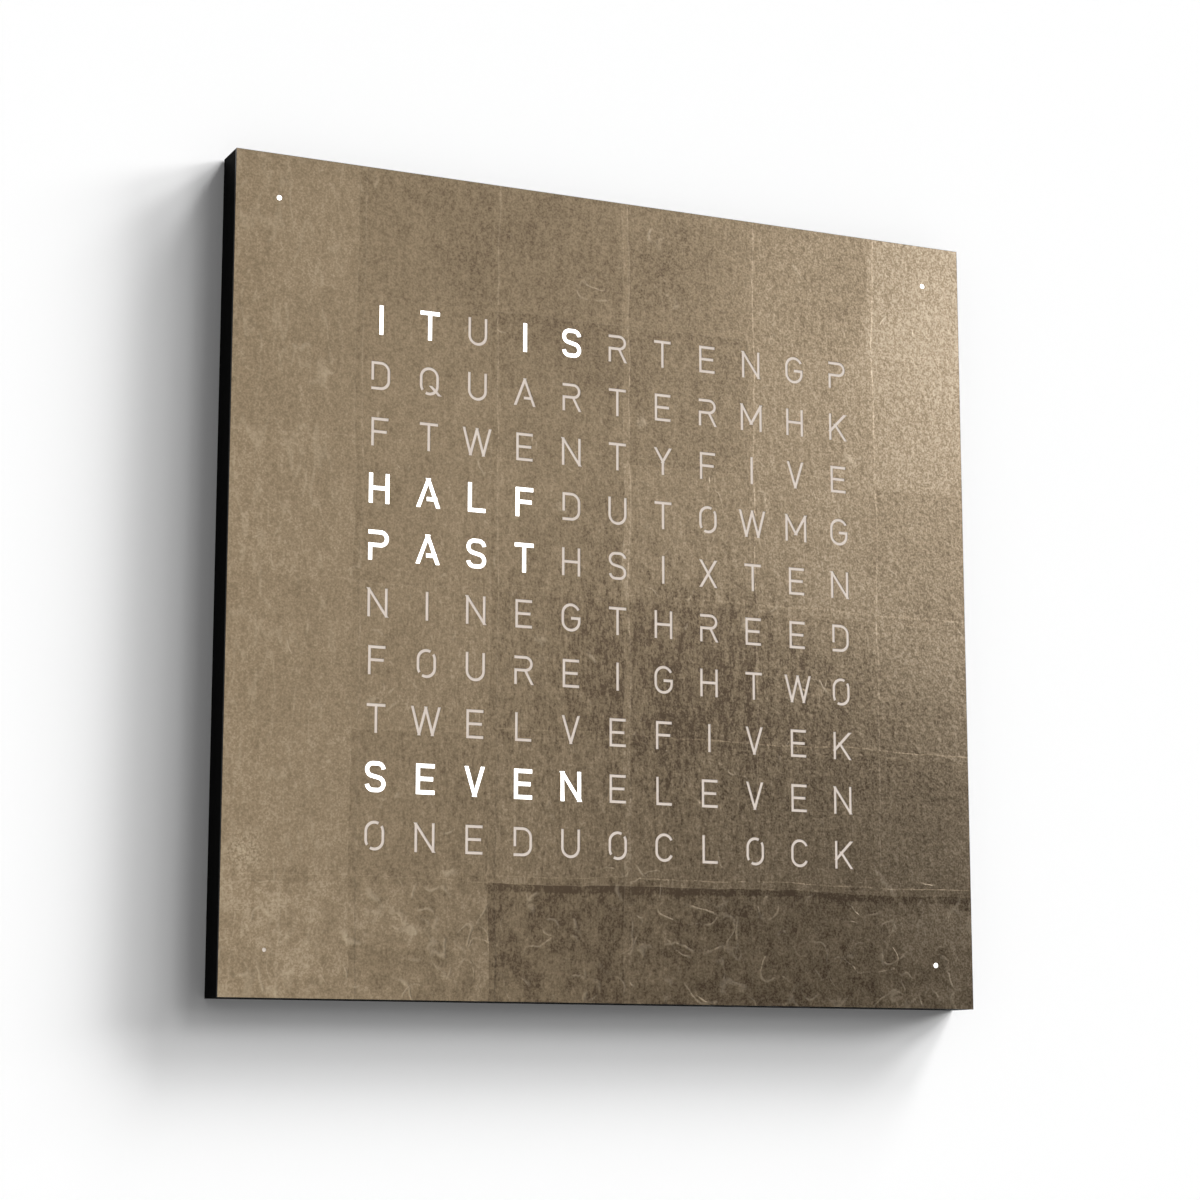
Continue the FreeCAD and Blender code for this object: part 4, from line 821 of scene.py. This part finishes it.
def dishedCap(number):
    # the stem's end is hollowed by a shallow bowl, depth * (1 - (r / rim)^2), inside a rounded
    # rim, a quarter turn of its radius; the collar that keeps the cap in is at its other end
    low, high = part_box(f"button_cap_{number}")
    radius, length = button["stem"]
    rim = radius - button["rim"]
    bowl = [(rim * part, button["dish"] * (1 - part ** 2)) for part in
            (0.03, 0.2, 0.4, 0.6, 0.8, 0.92)]
    edge = [(rim + button["rim"] * math.sin(turn), button["rim"] * (1 - math.cos(turn)))
            for turn in np.linspace(0, math.pi / 2, 5)]
    top = (high.z - low.z) / mm
    collar = [(radius, length), (button["collar"] - 0.15, length), (button["collar"], length + 0.15),
              (button["collar"], top - 0.15), (button["collar"] - 0.15, top), (1.0, top)]
    base = ((low.x + high.x) / 2, (low.y + high.y) / 2, low.z)
    rings = placeAlong(lathe(bowl + edge + collar, 48), base, (0, 0, 1))
    piece = loftPiece(f"dishedButton{number}", [rings])
    dress(piece, f"button_{number}", "button_plastic", f"button_cap_{number}")


for number in range(1, 5):
    dishedCap(number)
print("buttons made")

lamp = {
    "well": 1.9,             # radius of the round lens in its package, millimetres
    "wellDepth": 0.35,
    "points": 16,
}


def squareOutline(angles, halfSide):
    # a square in polar form: half the side / larger of |cos| and |sin|
    return halfSide / np.maximum(abs(np.cos(angles)), abs(np.sin(angles)))


def lampPackages(name, cadName):
    # a square package whose face dips in a round lens; rings run from the lens to the base
    lofts = []
    for low, high in islands(cadName):
        half = (high[0] - low[0]) / 2 / mm
        height = (high[1] - low[1]) / mm
        angles = np.arange(lamp["points"]) / lamp["points"] * 2 * math.pi
        square = squareOutline(angles, half)
        circle = np.full(len(angles), lamp["well"])
        rows = ((circle * 0.2, 0.15), (circle * 0.8, lamp["wellDepth"]), (circle, 0.0),
                (square * 0.96, 0.0), (square, 0.1), (square, height))
        rings = np.stack([np.stack([row * np.cos(angles), row * np.sin(angles),
                                    np.full(len(angles), depth)], axis=-1)
                          for row, depth in rows]) * mm
        middle = (low + high) / 2
        middle[1] = low[1]
        lofts.append(placeAlong(rings, middle, (0, 1, 0)))
    dress(loftPiece(name, lofts), "root", "lamp_package", cadName)


lampPackages("letterLampSet", "letter_lamps")
lampPackages("minuteLampSet", "minute_lamps")

chips = {
    "legPitch": 1.27,        # millimetres
    "legWidth": 0.42,
    "legReach": 1.0,         # out of the body
    "legThickness": 0.2,
    "legShare": 0.86,        # part of a side that the row of legs takes
    "draft": 0.25,           # how much narrower the body's top and bottom are than its middle
}


def chipLofts(low, high, legSides):
    # the body widens from its top to its middle and narrows again; each leg is a strip carried
    # out of the body's side, down and out along the board
    middle = (low + high) / 2
    half = (high - low)[[0, 2]] / 2 / mm
    height = (high[1] - low[1]) / mm
    body = half.copy()
    if "X" in legSides:
        body[0] -= chips["legReach"]
    if "Z" in legSides:
        body[1] -= chips["legReach"]
    signs = np.array([(-1, -1), (1, -1), (1, 1), (-1, 1)])
    levels = ((chips["draft"], 0.0), (0.0, height * 0.45), (0.0, height * 0.55),
              (chips["draft"], height * 0.95))
    rings = []
    for inset, depth in levels:
        ring = np.zeros((4, 3))
        ring[:, [0, 2]] = signs * (body - inset) * mm + middle[[0, 2]]
        ring[:, 1] = low[1] + depth * mm
        rings.append(ring)
    lofts = [np.stack(rings)]
    for across, along in (("X", 0), ("Z", 1)):
        if across not in legSides:
            continue
        other = 1 - along
        count = int(body[other] * 2 * chips["legShare"] / chips["legPitch"]) + 1
        places = (np.arange(count) - (count - 1) / 2) * chips["legPitch"]
        path = ((body[along] - 0.2, height * 0.5), (body[along] + 0.25, height * 0.5),
                (body[along] + 0.5, height - 0.15), (half[along], height - 0.12))
        reaches, depths = np.array(path).T
        for sign in (-1, 1):
            strips = np.zeros((count, len(path), 4, 3))
            strips[..., along * 2] = sign * reaches[:, None]
            strips[..., other * 2] = (places[:, None, None]
                                      + signs[:, 0] * chips["legWidth"] / 2)
            strips[..., 1] = depths[:, None] + signs[:, 1] * chips["legThickness"] / 2
            lofts += list(strips * mm + np.array([middle[0], low[1], middle[2]]))
    return lofts[:1], lofts[1:]


def chipSet(name, cadName, legSides):
    bodies, legs = [], []
    for low, high in islands(cadName):
        moulded, pins = chipLofts(low, high, legSides)
        bodies += moulded
        legs += pins
    dress(loftPiece(name + "Body", bodies), "root", "chip_resin", cadName)
    dress(loftPiece(name + "Legs", legs), "root", "bright_steel")


chipSet("microcontroller", "microcontroller", "XZ")
chipSet("driverChip", "driver_chips", "Z")


def turnedPart(name, cadName, slotName, axis, profile, points=40):
    # each of the node's solids as a lathed profile: radius and height as parts of its own
    lofts = []
    for low, high in islands(cadName):
        span = (high - low) / mm
        along = int(np.argmax(np.abs(axis)))
        radius = np.delete(span, along).max() / 2
        start = (low + high) / 2
        start[along] = low[along] if axis[along] > 0 else high[along]
        rows = [(radius * part, span[along] * height) for part, height in profile]
        lofts.append(placeAlong(lathe(rows, points), start, axis))
    dress(loftPiece(name, lofts), "root", slotName, cadName)


# the can's top is scored and rolled in at a groove near its base
turnedPart("groovedCan", "smoothing_capacitor", "capacitor_can", (0, -1, 0),
           ((0.1, 0.0), (1.0, 0.0), (1.0, 0.08), (0.90, 0.12), (0.90, 0.15), (1.0, 0.19),
            (1.0, 0.96), (0.93, 1.0), (0.80, 1.0), (0.78, 0.985), (0.1, 0.985)))
turnedPart("roundedCoinCell", "coin_cell", "nickel", (0, -1, 0),
           ((0.1, 0.0), (0.80, 0.0), (0.86, 0.15), (0.97, 0.2), (1.0, 0.32), (1.0, 0.93),
            (0.97, 1.0), (0.1, 1.0)), 56)
turnedPart("magnetDiscs", "cover_magnets", "nickel", (0, -1, 0),
           ((0.1, 0.0), (0.95, 0.0), (1.0, 0.06), (1.0, 0.94), (0.95, 1.0), (0.1, 1.0)))
for cadName, newName, slotName, radius in (
        ("hanger_plates", "pressedHangerPlates", "zinc_steel", 0.2),
        ("corner_brackets", "foldedCornerBrackets", "zinc_steel", 0.2),
        ("cell_holder", "mouldedCellHolder", "connector_plastic", 0.2),
        ("power_inlet", "mouldedPowerInlet", "connector_plastic", 0.3),
        ("ribbon_headers", "mouldedHeaders", "connector_plastic", 0.3),
        ("ribbon_sockets", "mouldedSockets", "connector_plastic", 0.3),
        ("tact_switches", "mouldedSwitches", "connector_plastic", 0.2),
        ("clock_crystal", "drawnCrystalCan", "nickel", 0.25)):
    softenedCopy(newName, cadName, "root", slotName, radius)

ribbon = {
    "conductors": 10,
    "points": 8,             # across each conductor's rounding
    "web": 0.35,             # thickness between conductors, as a part of the full thickness
}


def ribbedRibbon():
    # a sheet whose thickness at each place across is the round of the conductor there,
    # web + (full - web) * |sin|, carried straight from socket to socket
    low, high = (np.array(corner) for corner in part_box("ribbon_cable"))
    count = ribbon["conductors"] * ribbon["points"]
    across = np.linspace(0, 1, count + 1)
    rounds = abs(np.sin(across * ribbon["conductors"] * math.pi))
    half = (high[1] - low[1]) / 2 * (ribbon["web"] + (1 - ribbon["web"]) * rounds)
    middle = (high[1] + low[1]) / 2
    x = low[0] + (high[0] - low[0]) * across
    ring = np.concatenate([np.stack([x, middle - half], axis=1),
                           np.stack([x[::-1], middle + half[::-1]], axis=1)])
    rings = np.stack([np.insert(ring, 2, z, axis=1) for z in np.linspace(low[2], high[2], 6)])
    dress(loftPiece("ribbedRibbon", [rings], 60), "root", "ribbon_vinyl", "ribbon_cable")


ribbedRibbon()
print("electronics made")
